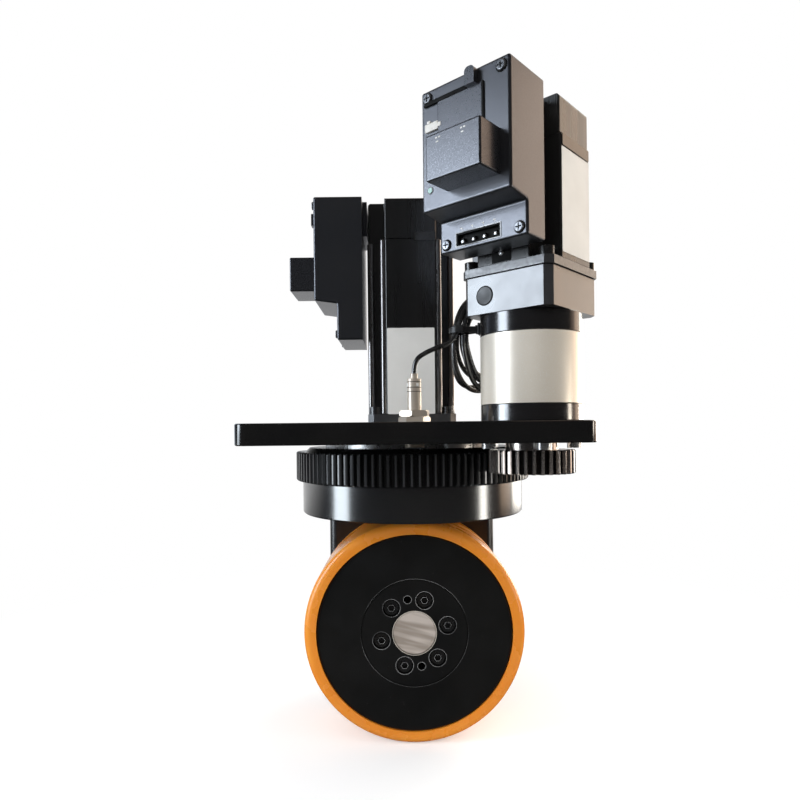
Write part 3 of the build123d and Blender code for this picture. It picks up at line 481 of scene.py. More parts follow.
def cast_finish():
    """Motor flange: black anodised over a coarse blasted casting."""
    finish = Finish("motor_flange_black", (0.016, 0.017, 0.019), 0.4, IOR=2.3)
    coarse = finish.noise(620, detail=3, rough=0.6)
    finish.tint(finish.noise(40, detail=3), (0.022, 0.022, 0.023))
    finish.mottle(coarse, 0.34, 0.5)
    return finish.bump(coarse, 0.07)


def nickel_finish():
    """Nickel-plated brass, with a fine thread on the barrel."""
    finish = Finish("sensor_nickel", (0.62, 0.545, 0.46), 0.3, 0.6)
    finish.tint(finish.noise(60, detail=4), (0.58, 0.49, 0.40))
    finish.mottle(finish.noise(160, detail=3), 0.3, 0.42)
    z = finish.along(2)
    r = finish.radius(2, (*SENSOR_AXIS, 0))
    within_nuts = finish.span(r, 6.3, 6.6, 1.0, 0.0)
    on_barrel = finish.maths("MULTIPLY", finish.span(r, 5.4, 5.7, 0.0, 1.0), within_nuts)
    thread = finish.maths("MULTIPLY", finish.maths("SINE", finish.maths("MULTIPLY", z, math.tau)), on_barrel)
    finish.bump(thread, 0.16)
    return finish.bump(finish.noise(1800, detail=2), 0.002)


def shadow_finish():
    """Painted shade: dull flat black for the sheets and rings drawn inside recesses, grooves and joints."""
    finish = Finish("painted_recess_shade", (0.004, 0.004, 0.004), 0.7, IOR=1.3)
    finish.tint(finish.noise(90), (0.006, 0.0055, 0.005))
    finish.mottle(finish.noise(120), 0.6, 0.8)
    return finish.bump(finish.noise(900), 0.003)


def wear_and_highlight_finish():
    """Machined edge colour: partly bare metal where the black coating is thin, partly painted highlight where
    edges catch the light.
    """
    finish = Finish("wear_and_highlight_edge", (0.40, 0.40, 0.40), 0.3, 0.3)
    finish.tint(finish.noise(24, detail=3), (0.03, 0.03, 0.03), 0.44, 0.62)
    finish.mottle(finish.noise(80), 0.22, 0.4)
    return finish.bump(finish.noise(800), 0.002)


def drum_finish():
    """Gloss black anodised aluminium with fine turning marks round Z."""
    finish = Finish("drum_black", (0.008, 0.0082, 0.009), 0.17, IOR=2.3)
    marks = finish.noise(30, (0.05, 0.05, 60), detail=3)
    finish.tint(finish.noise(26, detail=4), (0.012, 0.0115, 0.0115))
    finish.mottle(marks, 0.13, 0.22)
    finish.bump(marks, 0.0022)
    return finish.bump(finish.noise(24, (1, 1, 0.6), detail=2), 0.015, 0.3)


def hub_finish():
    """Matt black coating over turned steel, with faint rings round the wheel's axis."""
    finish = Finish("hub_black", (0.0046, 0.0045, 0.0044), 0.46, IOR=1.42)
    r = finish.radius(1, (0, 0, WHEEL_Z))
    rings = finish.maths("SINE", finish.maths("MULTIPLY", r, 9.0))
    finish.tint(finish.noise(20, detail=5), (0.0072, 0.0068, 0.0064))
    finish.mottle(finish.noise(70, detail=4), 0.4, 0.55)
    finish.bump(rings, 0.0016, 0.6)
    specks = finish.noise(420, detail=1)
    finish.tint(specks, (0.02, 0.019, 0.018), 0.75, 0.81)
    return finish.bump(finish.noise(1500), 0.006)


def tyre_finish():
    """Cast polyurethane: clear orange, a little cloudy, with fine turned lines on the tread."""
    finish = Finish("tyre_orange", (0.70, 0.235, 0.024), 0.27, IOR=1.5)
    finish.set("Subsurface Weight", 0.22)
    finish.set("Subsurface Radius", (1.0, 0.42, 0.1))
    finish.set("Subsurface Scale", 0.004)
    r = finish.radius(1, (0, 0, WHEEL_Z))
    # Painted highlight: the colour lightens towards the outer rim, where the shoulder catches the light.
    finish.tint(finish.span(r, TYRE_R - 7.5, TYRE_R, 0.0, 1.0), (0.74, 0.275, 0.036), 0.0, 1.0)
    finish.tint(finish.noise(16, detail=4), (0.64, 0.19, 0.016), 0.46, 0.8)
    finish.mottle(finish.noise(46, detail=4), 0.21, 0.34)
    tread = finish.span(r, TYRE_R - 0.6, TYRE_R - 0.1, 0.0, 1.0)
    lines = finish.maths("SINE", finish.maths("MULTIPLY", finish.along(1), 7.0))
    finish.bump(finish.maths("MULTIPLY", lines, tread), 0.02, 0.5)
    return finish.bump(finish.noise(240, detail=3), 0.005)


def adapter_finish():
    """Anodised adapter block: smooth satin faces with a faint cloud."""
    finish = Finish("adapter_black", (0.020, 0.021, 0.024), 0.31, IOR=2.15)
    finish.tint(finish.noise(30, detail=4), (0.027, 0.027, 0.029))
    finish.mottle(finish.noise(60, detail=3), 0.27, 0.34)
    return finish.bump(finish.noise(1400, detail=2), 0.004)


def sleeve_finish():
    """Clear anodised sleeve: satin, with a fine sparkling grain."""
    finish = Finish("gearbox_silver", (0.88, 0.81, 0.70), 0.34, 0.48)
    grain = finish.noise(1500, detail=3, rough=0.7)
    finish.tint(finish.noise(24, detail=4), (0.84, 0.77, 0.66))
    finish.tint(grain, (0.93, 0.90, 0.85), 0.55, 0.75)
    finish.mottle(finish.noise(30, (0.05, 0.05, 60), detail=2), 0.3, 0.38)
    return finish.bump(grain, 0.012)


def motor_finish():
    """Black anodised extrusion, with faint drawing lines along the motor."""
    finish = Finish("motor_black", (0.0062, 0.0062, 0.0064), 0.3, IOR=1.68)
    finish.tint(finish.noise(30, (1, 1, 0.1), detail=4), (0.0085, 0.008, 0.0078))
    finish.mottle(finish.noise(150, (1, 1, 0.06), detail=3), 0.25, 0.36)
    finish.bump(finish.noise(520, (1, 1, 0.03), detail=2), 0.003)
    specks = finish.noise(300, detail=1)
    return finish.tint(specks, (0.03, 0.028, 0.026), 0.78, 0.83)


def box_finish(name, ior, rough):
    """Powder-coated black with a fine sparkling pebble."""
    finish = Finish(name, (0.0085, 0.0088, 0.0102), rough, IOR=ior)
    finish.set("Specular Tint", (0.90, 0.92, 1.0, 1))
    pebble = finish.noise(1500, detail=3, rough=0.65)
    finish.tint(finish.noise(36, detail=3), (0.0105, 0.0102, 0.0108))
    finish.mottle(pebble, rough * 0.82, rough * 1.2)
    finish.bump(pebble, 0.02)
    return finish.bump(finish.noise(450, detail=2), 0.005)


def lens_finish():
    finish = Finish("light_green", (0.015, 0.16, 0.10), 0.16, IOR=1.5, Coat_Weight=0.6)
    finish.tint(finish.noise(900), (0.03, 0.25, 0.16))
    finish.mottle(finish.noise(500), 0.12, 0.22)
    return finish.bump(finish.noise(2200), 0.002)


def rubber_finish():
    finish = Finish("seal_rubber", (0.011, 0.011, 0.011), 0.55, IOR=1.5)
    finish.tint(finish.noise(60, detail=4), (0.016, 0.016, 0.016))
    finish.mottle(finish.noise(180, detail=3), 0.48, 0.66)
    return finish.bump(finish.noise(1400), 0.01)


def jacket_finish():
    """Soft black cable jacket, glossy where it has been handled."""
    finish = Finish("cable_black", (0.012, 0.011, 0.0105), 0.27, IOR=2.15)
    finish.tint(finish.noise(70, detail=4), (0.017, 0.016, 0.015))
    finish.mottle(finish.noise(110, detail=3), 0.19, 0.32)
    return finish.bump(finish.noise(900, detail=3), 0.012)


def nylon_finish():
    finish = Finish("fitting_nylon", (0.012, 0.012, 0.0125), 0.4, IOR=1.55)
    finish.tint(finish.noise(80, detail=3), (0.018, 0.0175, 0.017))
    finish.mottle(finish.noise(140, detail=3), 0.32, 0.5)
    return finish.bump(finish.noise(1100, detail=2), 0.01)


def axle_finish():
    """Raw steel: machined round its axis, and brushed aslant across its outer end."""
    finish = Finish("axle_steel", (0.60, 0.53, 0.475), 0.36, 0.3)
    brush = finish.noise(26, (1, 1, 26), slope=-15, detail=4)
    bands = finish.noise(60, (0.3, 1, 2.6), slope=-15, detail=2)
    finish.tint(bands, (0.36, 0.305, 0.26), 0.42, 0.58)
    finish.tint(finish.noise(200, detail=3), (0.30, 0.23, 0.15), 0.66, 0.78)
    finish.mottle(brush, 0.28, 0.46)
    return finish.bump(brush, 0.012)


def label_finish():
    """Bare foil label, satin silver."""
    finish = Finish("label_foil", (0.76, 0.745, 0.71), 0.44, IOR=1.4)
    finish.tint(finish.noise(50, detail=3), (0.71, 0.695, 0.66))
    finish.mottle(finish.noise(90, detail=2), 0.38, 0.5)
    return finish.bump(finish.noise(800), 0.003)


def window_finish():
    """Smooth dark window over the motor's wiring cover."""
    finish = Finish("window_dark", (0.010, 0.010, 0.0105), 0.14, IOR=1.6)
    finish.tint(finish.noise(60), (0.014, 0.013, 0.012))
    finish.mottle(finish.noise(130), 0.1, 0.2)
    return finish.bump(finish.noise(300), 0.004)


def white_finish():
    finish = Finish("moulded_white", (0.72, 0.70, 0.66), 0.4, IOR=1.5)
    finish.tint(finish.noise(260), (0.6, 0.58, 0.53))
    finish.mottle(finish.noise(300), 0.34, 0.48)
    return finish.bump(finish.noise(1500), 0.004)


FINISH_OF_NODE = {
    "plate": ["mounting_plate"],
    "ring": ["ring_gear"],
    "pinion": ["steer_pinion", "transfer_gear", "idler_gear", "motor_pinion", "bevel_pinion_shaft",
               "crown_gear"],
    "bearing": ["slew_inner_ring", "slew_roller_ring", "bevel_shaft_bearings", "axle_front_bearing",
                "axle_rear_bearing"],
    "shaft": ["steer_output_shaft", "steer_shaft_key"],
    "axle": ["axle"],
    "screw_zinc": ["gearbox_screws", "slew_ring_screws", "pinion_end_screw"],
    "screw_dark": ["steer_motor_box_screws", "drive_motor_box_screws"],
    "screw_black": ["hub_screws", "drum_bolts", "case_screws", "rear_cover_screws",
                    "steer_motor_flange_screws", "drive_motor_flange_screws"],
    "drum": ["drum", "motor_pedestal"],
    "case": ["gear_case", "rear_cover", "drum_floor_cover"],
    "hub": ["wheel_hub"],
    "tyre": ["tyre"],
    "gearbox": ["gearbox_lower_collar", "gearbox_upper_collar"],
    "adapter": ["motor_adapter"],
    "sleeve": ["gearbox_sleeve"],
    "motor": ["steer_motor_body", "steer_motor_cap", "drive_motor_body", "drive_motor_cap"],
    "cast": ["steer_motor_flange", "drive_motor_flange"],
    "box": ["steer_motor_box", "drive_motor_box"],
    "block": ["steer_motor_terminal_block", "drive_motor_terminal_block"],
    "shadow": ["steer_motor_power_header", "drive_motor_power_header"],
    "lens": ["steer_motor_status_light", "drive_motor_status_light"],
    "nickel": ["sensor_barrel", "sensor_nuts"],
    "rubber": ["axle_seal"],
    "plug": ["adapter_plug"],
    "jacket": ["sensor_cable", "sensor_cable_coil", "sensor_plug"],
}


def dress_nodes(finishes):
    for finish, names in FINISH_OF_NODE.items():
        for name in names:
            data = nodes[name].data
            data.materials.clear()
            data.materials.append(finishes[finish].material)
            shade(data, SHARP_ON_NODES)


# Width in millimetres of the rounding on the edges of machined nodes, the least turn in degrees at an edge
# that gets it, and the gap in millimetres between vertices that are one
EDGE_ROUNDING = {"steer_motor_body": 0.35, "drive_motor_body": 0.35, "mounting_plate": 0.4, "gear_case": 0.4,
                 "motor_adapter": 0.3, "motor_pedestal": 0.4}
ROUNDED_FROM = 35
WELD_GAP = 0.002


def soften_edges():
    for name, width in EDGE_ROUNDING.items():
        weld = nodes[name].modifiers.new("weld", "WELD")
        weld.merge_threshold = WELD_GAP * MM
        bevel = nodes[name].modifiers.new("edges", "BEVEL")
        bevel.width = width * MM
        bevel.segments = 2
        bevel.limit_method = "ANGLE"
        bevel.angle_limit = math.radians(ROUNDED_FROM)
        bevel.face_strength_mode = "FSTR_AFFECTED"
        flat = nodes[name].modifiers.new("flat faces", "WEIGHTED_NORMAL")
        flat.keep_sharp = True
        flat.use_face_influence = True


# Pieces added to the solids. A motor's own frame has its label face at +X and its box towards -Y.

DRIVE_MOTOR = shift(0, 0, DRIVE_FLANGE_FLOOR) @ turn(-90)
STEER_MOTOR = shift(*PINION_AXIS, STEER_FLANGE_FLOOR) @ turn(STEER_MOTOR_YAW)
ADAPTER = shift(*PINION_AXIS, ADAPTER_FLOOR) @ turn(STEER_MOTOR_YAW)
MOTOR_HALF = 30.0
FACE_PLATE_CORNER = 0.8
LABEL_THICK = 0.18
WINDOW_THICK = 0.5
BOX_REACH = 66.0
BOX_STEP_REACH = 50.5
BOX_SCREW_X = 23.6
BLOCK_REACH = 83.39
BLOCK_RISE = 31.0
FLAP_RISE = 26.0
HEADER_X = (-16.75, 11.95)
HEADER_Z = (2.2, 9.4)
HEADER_EDGE = 0.5


def face_plate(name, motor, across, heights, thick, finish, body, slot):
    """Thin plate with rounded corners on the label face of a motor."""
    corner = FACE_PLATE_CORNER
    outline = []
    for right, top, start in ((1, 1, 0), (0, 1, 90), (0, 0, 180), (1, 0, 270)):
        y = across[right] + (-corner if right else corner)
        z = heights[top] + (-corner if top else corner)
        for i in range(5):
            a = math.radians(start + 22.5 * i)
            outline.append((y + corner * math.cos(a), z + corner * math.sin(a)))
    verts = [(x, y, z) for x in (MOTOR_HALF, MOTOR_HALF + thick) for y, z in outline]
    n = len(outline)
    sides = [(i, (i + 1) % n, n + (i + 1) % n, n + i) for i in range(n)]
    shape = Shape().add(verts, [tuple(range(n, 2 * n)), tuple(reversed(range(n))), *sides], motor)
    shape.piece(name, finish, body, slot)


def ring(shape, place, inner, outer, low, high, steps=40):
    """Flat ring about the Z of a placement."""
    return shape.lathe([(inner, low), (outer, low), (outer, high), (inner, high), (inner, low)], place, steps)


def box_face(motor, x, reach, z):
    """Placement on the front of an electronics box, with Z pointing out of it."""
    return motor @ shift(x, -reach, z) @ FACING_FRONT


def make_box_shade_marks(name, motor, body, low, top, block_top, finishes):
    """Painted shade on one electronics box: dark rings round the screw heads in their recesses, their dark
    crosses, a dark bar along the flap's top edge where its shadow falls, and dark gap lines beside the flap.
    """
    dark = Shape()
    for reach, z in ((BOX_REACH, top - 4.8), (BOX_STEP_REACH, low + 4.4)):
        for x in (-BOX_SCREW_X, BOX_SCREW_X):
            seat = box_face(motor, x, reach, z)
            ring(dark, seat, 2.72, 3.35, 0.0, 0.12)
            for degrees in (0, 90):
                dark.block((-1.75, -0.45, 0.3), (1.75, 0.45, 0.62), seat @ turn(degrees))
    flap_top = block_top + FLAP_RISE
    # Painted shadow: a dark bar along the flap's top edge, and dark strips in the gaps at its sides.
    dark.block((-25.5, -BOX_REACH - 1.5, flap_top - 0.3), (3.4, -BOX_REACH, flap_top + 1.9), motor, 0.3)
    dark.block((12.0, -BOX_REACH - 0.9, block_top), (13.2, -BOX_REACH, flap_top + 0.4), motor, 0.1)
    dark.block((-16.8, -BOX_REACH - 0.3, block_top), (-16.0, -BOX_REACH, flap_top - 0.3), motor)
    dark.piece(f"{name}_box_shade_marks", finishes["shadow"], body, "box_black")


def make_header_frame(name, motor, body, low, finishes):
    """Bright frame round the power header."""
    x0, x1 = HEADER_X
    z0, z1 = low + HEADER_Z[0], low + HEADER_Z[1]
    left, right = x0 - HEADER_EDGE, x1 + HEADER_EDGE
    bars = Shape()
    for xa, xb, za, zb in ((left, right, z0 - HEADER_EDGE, z0), (left, right, z1, z1 + HEADER_EDGE),
                           (left, x0, z0, z1), (x1, right, z0, z1)):
        bars.block((xa, -BOX_STEP_REACH - 0.35, za), (xb, -BOX_STEP_REACH, zb), motor)
    bars.piece(f"{name}_header_frame", finishes["wear_and_highlight"], body, "connector_black")


def make_contacts_and_marks(name, motor, body, low, block_top, finishes):
    """The power header's contacts, the white marks above them and those on the terminal block."""
    x0, x1 = HEADER_X
    z1 = low + HEADER_Z[1]
    middle = low + sum(HEADER_Z) / 2
    pins = Shape()
    marks = Shape()
    reach, out = BOX_STEP_REACH, BOX_STEP_REACH + 0.08
    for i in range(4):
        x = x0 + (x1 - x0) * (i + 0.5) / 4
        pins.block((x - 0.8, -50.0, middle - 1.9), (x + 0.8, -48.6, middle - 0.3), motor, 0.2)
        marks.block((x - 0.9, -out, z1 + 2.2), (x + 0.5, -reach, z1 + 2.7), motor)
        marks.block((x + 0.1, -out, z1 + 1.2), (x + 0.5, -reach, z1 + 2.2), motor)
    pins.piece(f"{name}_header_contacts", finishes["screw_zinc"], body, "screw_zinc")
    reach, out = BLOCK_REACH, BLOCK_REACH + 0.11
    for x in (-5.0, 10.6):
        for left in (x, x + 1.9):
            marks.block((left, -out, block_top - 3.2), (left + 1.1, -reach, block_top - 2.5), motor)
        marks.block((x + 0.3, -out, block_top - 5.2), (x + 1.9, -reach, block_top - 4.6), motor)
    marks.piece(f"{name}_box_marks", finishes["white"], body, "bearing_steel")


def make_service_socket(name, motor, body, low, finishes):
    """White socket beside the flap."""
    socket = Shape()
    socket.block((-25.0, -67.4, low), (-16.2, -65.9, low + 4.4), motor, 0.35)
    socket.block((-23.2, -67.7, low + 4.2), (-21.2, -66.3, low + 5.6), motor, 0.2)
    socket.block((-16.4, -67.3, low + 1.0), (-14.2, -66.9, low + 3.2), motor, 0.3)
    socket.piece(f"{name}_service_socket", finishes["white"], body, "bearing_steel")


def make_box_trim(name, motor, body, low, step, top, finishes):
    """Small pieces of one electronics box, which has its bottom, step and top at these heights."""
    block_top = step + BLOCK_RISE
    make_box_shade_marks(name, motor, body, low, top, block_top, finishes)
    rim = ring(Shape(), box_face(motor, -22.5, BOX_REACH, step + 11.0), 1.52, 2.0, 0.0, 0.25)
    rim.piece(f"{name}_light_rim", finishes["wear_and_highlight"], body, "box_black")
    make_header_frame(name, motor, body, low, finishes)
    make_contacts_and_marks(name, motor, body, low, block_top, finishes)
    make_service_socket(name, motor, body, block_top + 11.6, finishes)


def make_recess(finishes):
    """Cable recess in the steering motor's front face, below the box, drawn as a flat black sheet of painted
    shade, with its clamp screw.
    """
    recess = Shape().block((-6.9, -MOTOR_HALF - 0.25, 5.2), (5.7, -MOTOR_HALF + 0.1, 10.8), STEER_MOTOR)
    recess.piece("steer_motor_recess_shade", finishes["shadow"], "chassis_side", "motor_black")
    seat = STEER_MOTOR @ shift(-0.4, -MOTOR_HALF - 0.2, 10.2) @ FACING_FRONT
    outline = [(0, -0.2), (1.5, -0.2), (1.6, 0.3), (1.45, 0.8), (1.0, 1.15), (0.5, 1.25), (0, 1.28)]
    head = Shape().lathe(outline, seat, 24)
    head.piece("steer_motor_clamp_screw", finishes["screw_zinc"], "chassis_side", "screw_zinc")


def make_plug_joint(finishes):
    """Dark joint round the plug in the motor adapter."""
    joint = ring(Shape(), ADAPTER @ shift(-13.0, -29.0, 10.3) @ FACING_FRONT, 5.1, 5.75, 0.0, 0.14, 56)
    joint.piece("adapter_plug_joint", finishes["shadow"], "chassis_side", "connector_black")


def make_hub_rings(finishes):
    """Painted highlights: thin bright rings on the machined edges round the hub's groove, counterbores, jack
    holes and axle.
    """
    face = shift(0, HUB_FACE_Y, WHEEL_Z) @ FACING_FRONT
    edges = Shape()
    ring(edges, face, 36.35, 36.47, -0.05, 0.05, 160)
    for i in range(6):
        seat = face @ round_axis(HUB_SCREW_CIRCLE_R, HUB_SCREW_AZIMUTH + 60 * i)
        ring(edges, seat, 5.9, 6.14, -0.05, 0.05, 56)
        ring(edges, seat, 2.3, 2.5, 0.0, 0.02, 6)
    for azimuth in JACK_AZIMUTHS:
        ring(edges, face @ round_axis(HUB_SCREW_CIRCLE_R, azimuth), 2.64, 2.86, -0.05, 0.05, 40)
    edges.piece("hub_edge_highlights", finishes["wear_and_highlight"], "wheel", "bearing_steel")
    rim = ring(Shape(), face, 14.65, 15.0, 0.38, 0.44, 96)
    rim.piece("axle_rim", finishes["sleeve"], "wheel", "bearing_steel")


def make_ribs(finishes):
    """Rounded ribs of the drive motor's extrusion, two on each of its four faces."""
    ribs = Shape()
    outline = [(0, 10.2), (1.7, 10.2), (2.1, 10.6), (2.1, 128.0), (1.7, 128.4), (0, 128.4)]
    for quarter in range(4):
        for side in (-1, 1):
            ribs.lathe(outline, DRIVE_MOTOR @ turn(90 * quarter) @ shift(27.7, 18.6 * side, 0), 20)
    ribs.piece("drive_motor_ribs", finishes["rib"], "carrier", "motor_black")


def make_sensor_pieces(finishes):
    """Grooves, drawn as thin dark bands of painted shade, and the four signal windows round the sensor's cap.
    """
    sensor = shift(*SENSOR_AXIS, 0)
    grooves = Shape()
    for z in (18.9, 21.4, 24.8):
        ring(grooves, sensor, 4.2, 4.42, z, z + 0.35)
    grooves.piece("sensor_groove_shade", finishes["shadow"], "chassis_side", "connector_black")
    windows = Shape()
    for azimuth in (-62, 20, 118, 205):
        windows.block((4.1, -0.9, 22.1), (4.5, 0.9, 24.1), sensor @ turn(azimuth), 0.15)
    windows.piece("sensor_windows", finishes["label"], "chassis_side", "sensor_metal")


def make_face_plates(name, motor, body, label, window, finishes):
    """Label and window of one motor, each from its spans across and up the label face."""
    face_plate(f"{name}_label", motor, *label, LABEL_THICK, finishes["label"], body, "bearing_steel")
    face_plate(f"{name}_window", motor, *window, WINDOW_THICK, finishes["window"], body, "motor_black")


def make_small_pieces(finishes):
    make_box_trim("steer_motor", STEER_MOTOR, "chassis_side", 10.4, 30.2, 96.2, finishes)
    make_box_trim("drive_motor", DRIVE_MOTOR, "carrier", 61.0, 88.0, 158.5, finishes)
    make_recess(finishes)
    make_plug_joint(finishes)
    make_hub_rings(finishes)
    make_sensor_pieces(finishes)
    make_ribs(finishes)
    make_face_plates("drive_motor", DRIVE_MOTOR, "carrier", ((-16.5, 15.6), (10.0, 68.3)),
                     ((2.4, 17.0), (127.5, 133.2)), finishes)
    make_face_plates("steer_motor", STEER_MOTOR, "chassis_side", ((-16.5, 16.5), (8.1, 66.1)),
                     ((-16.0, 16.0), (66.7, 73.1)), finishes)


# Studio

# What shiny surfaces mirror, from in front (0) to behind (1): a dark room with a pale backdrop behind the
# object, bluish on the left and brown on the right.
ROOM_LEFT = [(0.50, (0.016, 0.016, 0.018)), (0.70, (0.035, 0.040, 0.055)), (0.77, (0.20, 0.23, 0.30)),
             (0.86, (0.80, 0.90, 1.0))]
ROOM_RIGHT = [(0.44, (0.017, 0.016, 0.016)), (0.53, (0.60, 0.43, 0.33)), (0.62, (0.80, 0.62, 0.50)),
              (0.85, (1.0, 0.94, 0.88))]


# Soft lights that face the object: name, azimuth in degrees from the camera's side (+ to the right),
# distance, lowest and highest point and width in metres, watts, colour, and whether surfaces mirror them.
SOFTBOXES = [
    ("fill_front", -12, 1.5, (0.1, 1.2), 1.2, 9.5, (1.0, 1.0, 1.0), False),
    ("fill_right", 58, 1.4, (-0.1, 0.9), 0.8, 4.0, (1.0, 0.96, 0.90), False),
    ("window_left", -71, 1.2, (0.0, 0.66), 0.5, 9.0, (0.80, 0.89, 1.0), True),
    ("low_left", -73, 0.7, (-0.214, 0.04), 0.22, 1.2, (0.84, 0.93, 1.0), True),
    ("low_right", 70, 0.7, (-0.214, -0.04), 0.1, 0.5, (1.0, 0.97, 0.90), True),
    ("edge_right", 74, 0.7, (-0.012, 0.035), 0.1, 0.2, (1.0, 0.88, 0.74), True),
    ("edge_far_right", 112, 0.7, (-0.012, 0.035), 0.06, 0.35, (1.0, 0.93, 0.84), True),
    ("panel_right", 105, 1.2, (-0.2, 0.95), 0.4, 2.0, (1.0, 0.70, 0.47), True),
    ("rim_right", 133, 1.2, (-0.2, 1.0), 0.6, 13.0, (1.0, 0.93, 0.82), True),
]
FLOOR_SIZE = 6.0
FLOOR_GAP = 0.0002
WHITE = (1, 1, 1, 1)
BACKGROUND, EMISSION, MIX = "ShaderNodeBackground", "ShaderNodeEmission", "ShaderNodeMixShader"


def make_world():
    """White where it is seen directly, a soft light on surfaces, and a room in what they mirror."""
    world = bpy.data.worlds.new("studio")
    bpy.context.scene.world = world
    tree = Tree(world)
    tree.nodes.clear()
    path = tree.node("ShaderNodeLightPath").outputs
    direction = tree.node("ShaderNodeTexCoord").outputs["Generated"]
    behind = tree.span(tree.part(direction, 1), -1, 1, 0, 1)
    right = tree.span(tree.part(direction, 0), -0.3, 0.3, 0, 1)
    room = tree.mix_colours(right, tree.ramp(behind, ROOM_LEFT), tree.ramp(behind, ROOM_RIGHT))
    mirrored = tree.shader(BACKGROUND, room, 1.0)
    soft = tree.shader(BACKGROUND, WHITE, 0.6)
    light = tree.shader(MIX, path["Is Glossy Ray"], soft, mirrored)
    direct = tree.maths("MAXIMUM", path["Is Camera Ray"], path["Is Transmission Ray"])
    tree.node("ShaderNodeOutputWorld", tree.shader(MIX, direct, light, tree.shader(BACKGROUND, WHITE, 1.0)))


def make_floor(height):
    """Pale floor: it shows the object's shadow, and turns to plain white away from it."""
    data = bpy.data.meshes.new("floor")
    shape = bmesh.new()
    bmesh.ops.create_grid(shape, x_segments=1, y_segments=1, size=FLOOR_SIZE)
    shape.to_mesh(data)
    shape.free()
    floor = new_object("floor", data)
    floor.location = (0, 0, height)

    material = bpy.data.materials.new("floor")
    data.materials.append(material)
    tree = Tree(material)
    tree.nodes.clear()
    path = tree.node("ShaderNodeLightPath").outputs
    place = tree.node("ShaderNodeTexCoord").outputs["Object"]
    looked_at = tree.maths("MAXIMUM", path["Is Camera Ray"], path["Is Glossy Ray"])
    looked_at = tree.maths("MAXIMUM", looked_at, path["Is Transmission Ray"])
    diffuse = tree.shader("ShaderNodeBsdfDiffuse", (0.78, 0.78, 0.78, 1))
    glow = tree.shader(EMISSION, WHITE, tree.maths("MULTIPLY", looked_at, 0.3))
    near = tree.shader("ShaderNodeAddShader", diffuse, glow)
    away = tree.vector_maths("LENGTH", place)["Value"]
    edge = tree.span(away, 0.18, 0.55, 0, 1, interpolation_type="SMOOTHSTEP")
    pale = tree.shader(MIX, edge, near, tree.shader(EMISSION, WHITE, looked_at))
    # What surfaces mirror of the floor in front of the object is dark, like the room
    in_front = tree.span(tree.part(place, 1), 0.2, 1.2, 1, 0)
    dim = tree.maths("MULTIPLY", in_front, path["Is Glossy Ray"])
    tree.node("ShaderNodeOutputMaterial", tree.shader(MIX, dim, pale, tree.shader(EMISSION, WHITE, 0.022)))


def make_softbox(name, azimuth, distance, heights, width, watts, colour, mirrored):
    data = bpy.data.lights.new(name, "AREA")
    data.shape = "RECTANGLE"
    data.size, data.size_y = width, heights[1] - heights[0]
    data.energy = watts
    data.color = colour
    light = new_object(name, data)
    a = math.radians(azimuth)
    height = sum(heights) / 2
    light.location = (distance * math.sin(a), -distance * math.cos(a), height)
    aim = Vector((0, 0, height)) - light.location
    light.rotation_euler = aim.to_track_quat("-Z", "Y").to_euler()
    light.visible_camera = False
    light.visible_glossy = mirrored


def make_studio():
    make_world()
    make_floor(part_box("tyre")[0].z - FLOOR_GAP)
    for softbox in SOFTBOXES:
        make_softbox(*softbox)


# Sensor cord, its plug and its ties

TIE_HEIGHT = 57.0
TIE_LEGS = [(-21.4, -48), (29.4, 48)]  # where each tie holds the coil, across, and its head's azimuth


def flutes(depth, count, low, high):
    """Wave for a lathe: flutes between two heights, with their depth as a share of the radius."""
    def wave(height, angle):
        return 1 - depth * (0.5 + 0.5 * math.cos(angle * count)) if low < height < high else 1
    return wave


def make_plug(finishes):
    """Round sensor plug lying on the plate: ribbed grip, and knurled coupling nut with its open socket."""
    place = shift(*TAIL_ROUTE[-1]) @ turn(-90, "X")
    grip = Shape().lathe([(0, -4.5), (1.75, -4.5), (1.95, -3.4), (1.75, -2.4), (2.15, -1.4), (2.0, -0.4),
                          (2.7, 0.3), (3.4, 1.2), (4.6, 4.2), (5.0, 5.4), (5.0, 12.0), (5.0, 19.0),
                          (4.7, 20.2), (4.2, 20.4), (4.2, 22.0), (0, 22.0)],
                         place, 72, flutes(0.045, 12, 5.0, 19.5))
    nut = Shape().lathe([(4.3, 21.2), (5.3, 21.3), (5.75, 22.2), (5.78, 23.0), (5.78, 25.4), (5.78, 27.8),
                         (5.6, 28.4), (5.2, 29.4), (5.0, 29.9), (4.4, 29.9), (4.4, 24.0), (4.1, 23.6),
                         (4.3, 21.2)], place, 96, flutes(0.05, 24, 22.9, 27.9))
    insert = Shape().lathe([(0, 22.0), (3.9, 22.0), (3.9, 28.6), (3.5, 28.9), (0, 28.9)], place)
    for azimuth in (45, 135, 225, 315):
        pin = place @ round_axis(2.0, azimuth)
        insert.lathe([(0, 28.8), (0.5, 28.8), (0.5, 29.6), (0.3, 29.85), (0, 29.85)], pin, 12)
    return [grip.piece("sensor_plug_body", finishes["nylon"], "chassis_side", "fitting_black"),
            nut.piece("sensor_plug_nut", finishes["knurl"], "chassis_side", "sensor_metal"),
            insert.piece("sensor_plug_insert", finishes["block"], "chassis_side", "connector_black")]


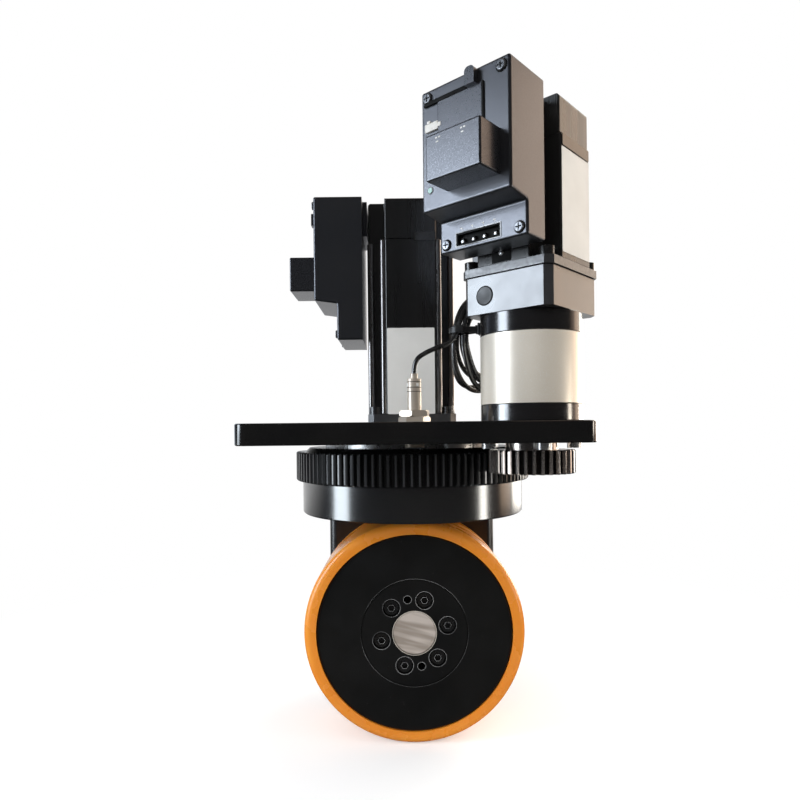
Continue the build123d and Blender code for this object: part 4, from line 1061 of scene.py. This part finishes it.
def belt(shape, place, a, a_radius, b, b_radius, thick, half_height, chamfer=0.15):
    """Closed strap pulled round two posts."""
    toward = math.atan2(b.y - a.y, b.x - a.x)
    lean = math.acos((a_radius - b_radius) / (b - a).length)
    path = [(a, a_radius, toward + lean + (math.tau - 2 * lean) * i / 24) for i in range(25)]
    path += [(b, b_radius, toward - lean + 2 * lean * i / 12) for i in range(13)]
    verts = []
    for centre, radius, angle in path:
        out = Vector((math.cos(angle), math.sin(angle)))
        inner, outer = centre + out * radius, centre + out * (radius + thick)
        verts += [(*inner, -half_height), (*outer, chamfer - half_height), (*outer, half_height - chamfer),
                  (*inner, half_height)]
    faces = []
    for i in range(len(path)):
        j = (i + 1) % len(path)
        faces += [(4 * i + k, 4 * i + (k + 1) % 4, 4 * j + (k + 1) % 4, 4 * j + k) for k in range(4)]
    shape.add(verts, faces, place)


def make_tie(finishes):
    """Nylon tie round each side of the coil, held by a saddle glued to the gearbox collar."""
    bearing = math.degrees(math.atan2(COIL_ALONG.y, COIL_ALONG.x))
    gearbox = shift(*PINION_AXIS, TIE_HEIGHT) @ turn(bearing)
    tie = Shape()
    for across, head_azimuth in TIE_LEGS:
        leg = Vector((COIL_REACH - GEAR_CENTRES, across))
        post = leg.normalized() * (GEARBOX_R + 2.3)
        belt(tie, gearbox, leg, 5.7, post, 1.9, 0.9, 1.9)
        saddle = gearbox @ turn(math.degrees(math.atan2(post.y, post.x)))
        tie.block((GEARBOX_R, -4.6, -3.6), (GEARBOX_R + 1.3, 4.6, 3.6), saddle, 0.4)
        tie.block((GEARBOX_R + 1.2, -2.2, -2.6), (GEARBOX_R + 3.2, 2.2, 2.6), saddle, 0.4)
        head = gearbox @ shift(*leg, 0) @ turn(head_azimuth)
        tie.block((5.9, -2.4, -2.3), (8.8, 2.4, 2.3), head, 0.35)
        tie.block((6.5, -0.6, 2.2), (7.6, 0.6, 5.6), head, 0.2)
    tie = tie.piece("sensor_cable_ties", finishes["nylon"], "chassis_side", "fitting_black")
    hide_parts("cable_tie")
    return tie


def make_sensor_cord(finishes):
    cord = make_cord("sensor_cord", cord_points(), CORD_DIAMETER / 2)
    cord.data.materials.append(finishes["jacket"].material)
    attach(cord, "chassis_side")
    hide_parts("sensor_cable", "sensor_cable_coil")
    plug = make_plug(finishes)
    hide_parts("sensor_plug")
    make_tie(finishes)


all_finishes = make_finishes()
dress_nodes(all_finishes)
soften_edges()
make_sensor_cord(all_finishes)
make_small_pieces(all_finishes)
make_studio()
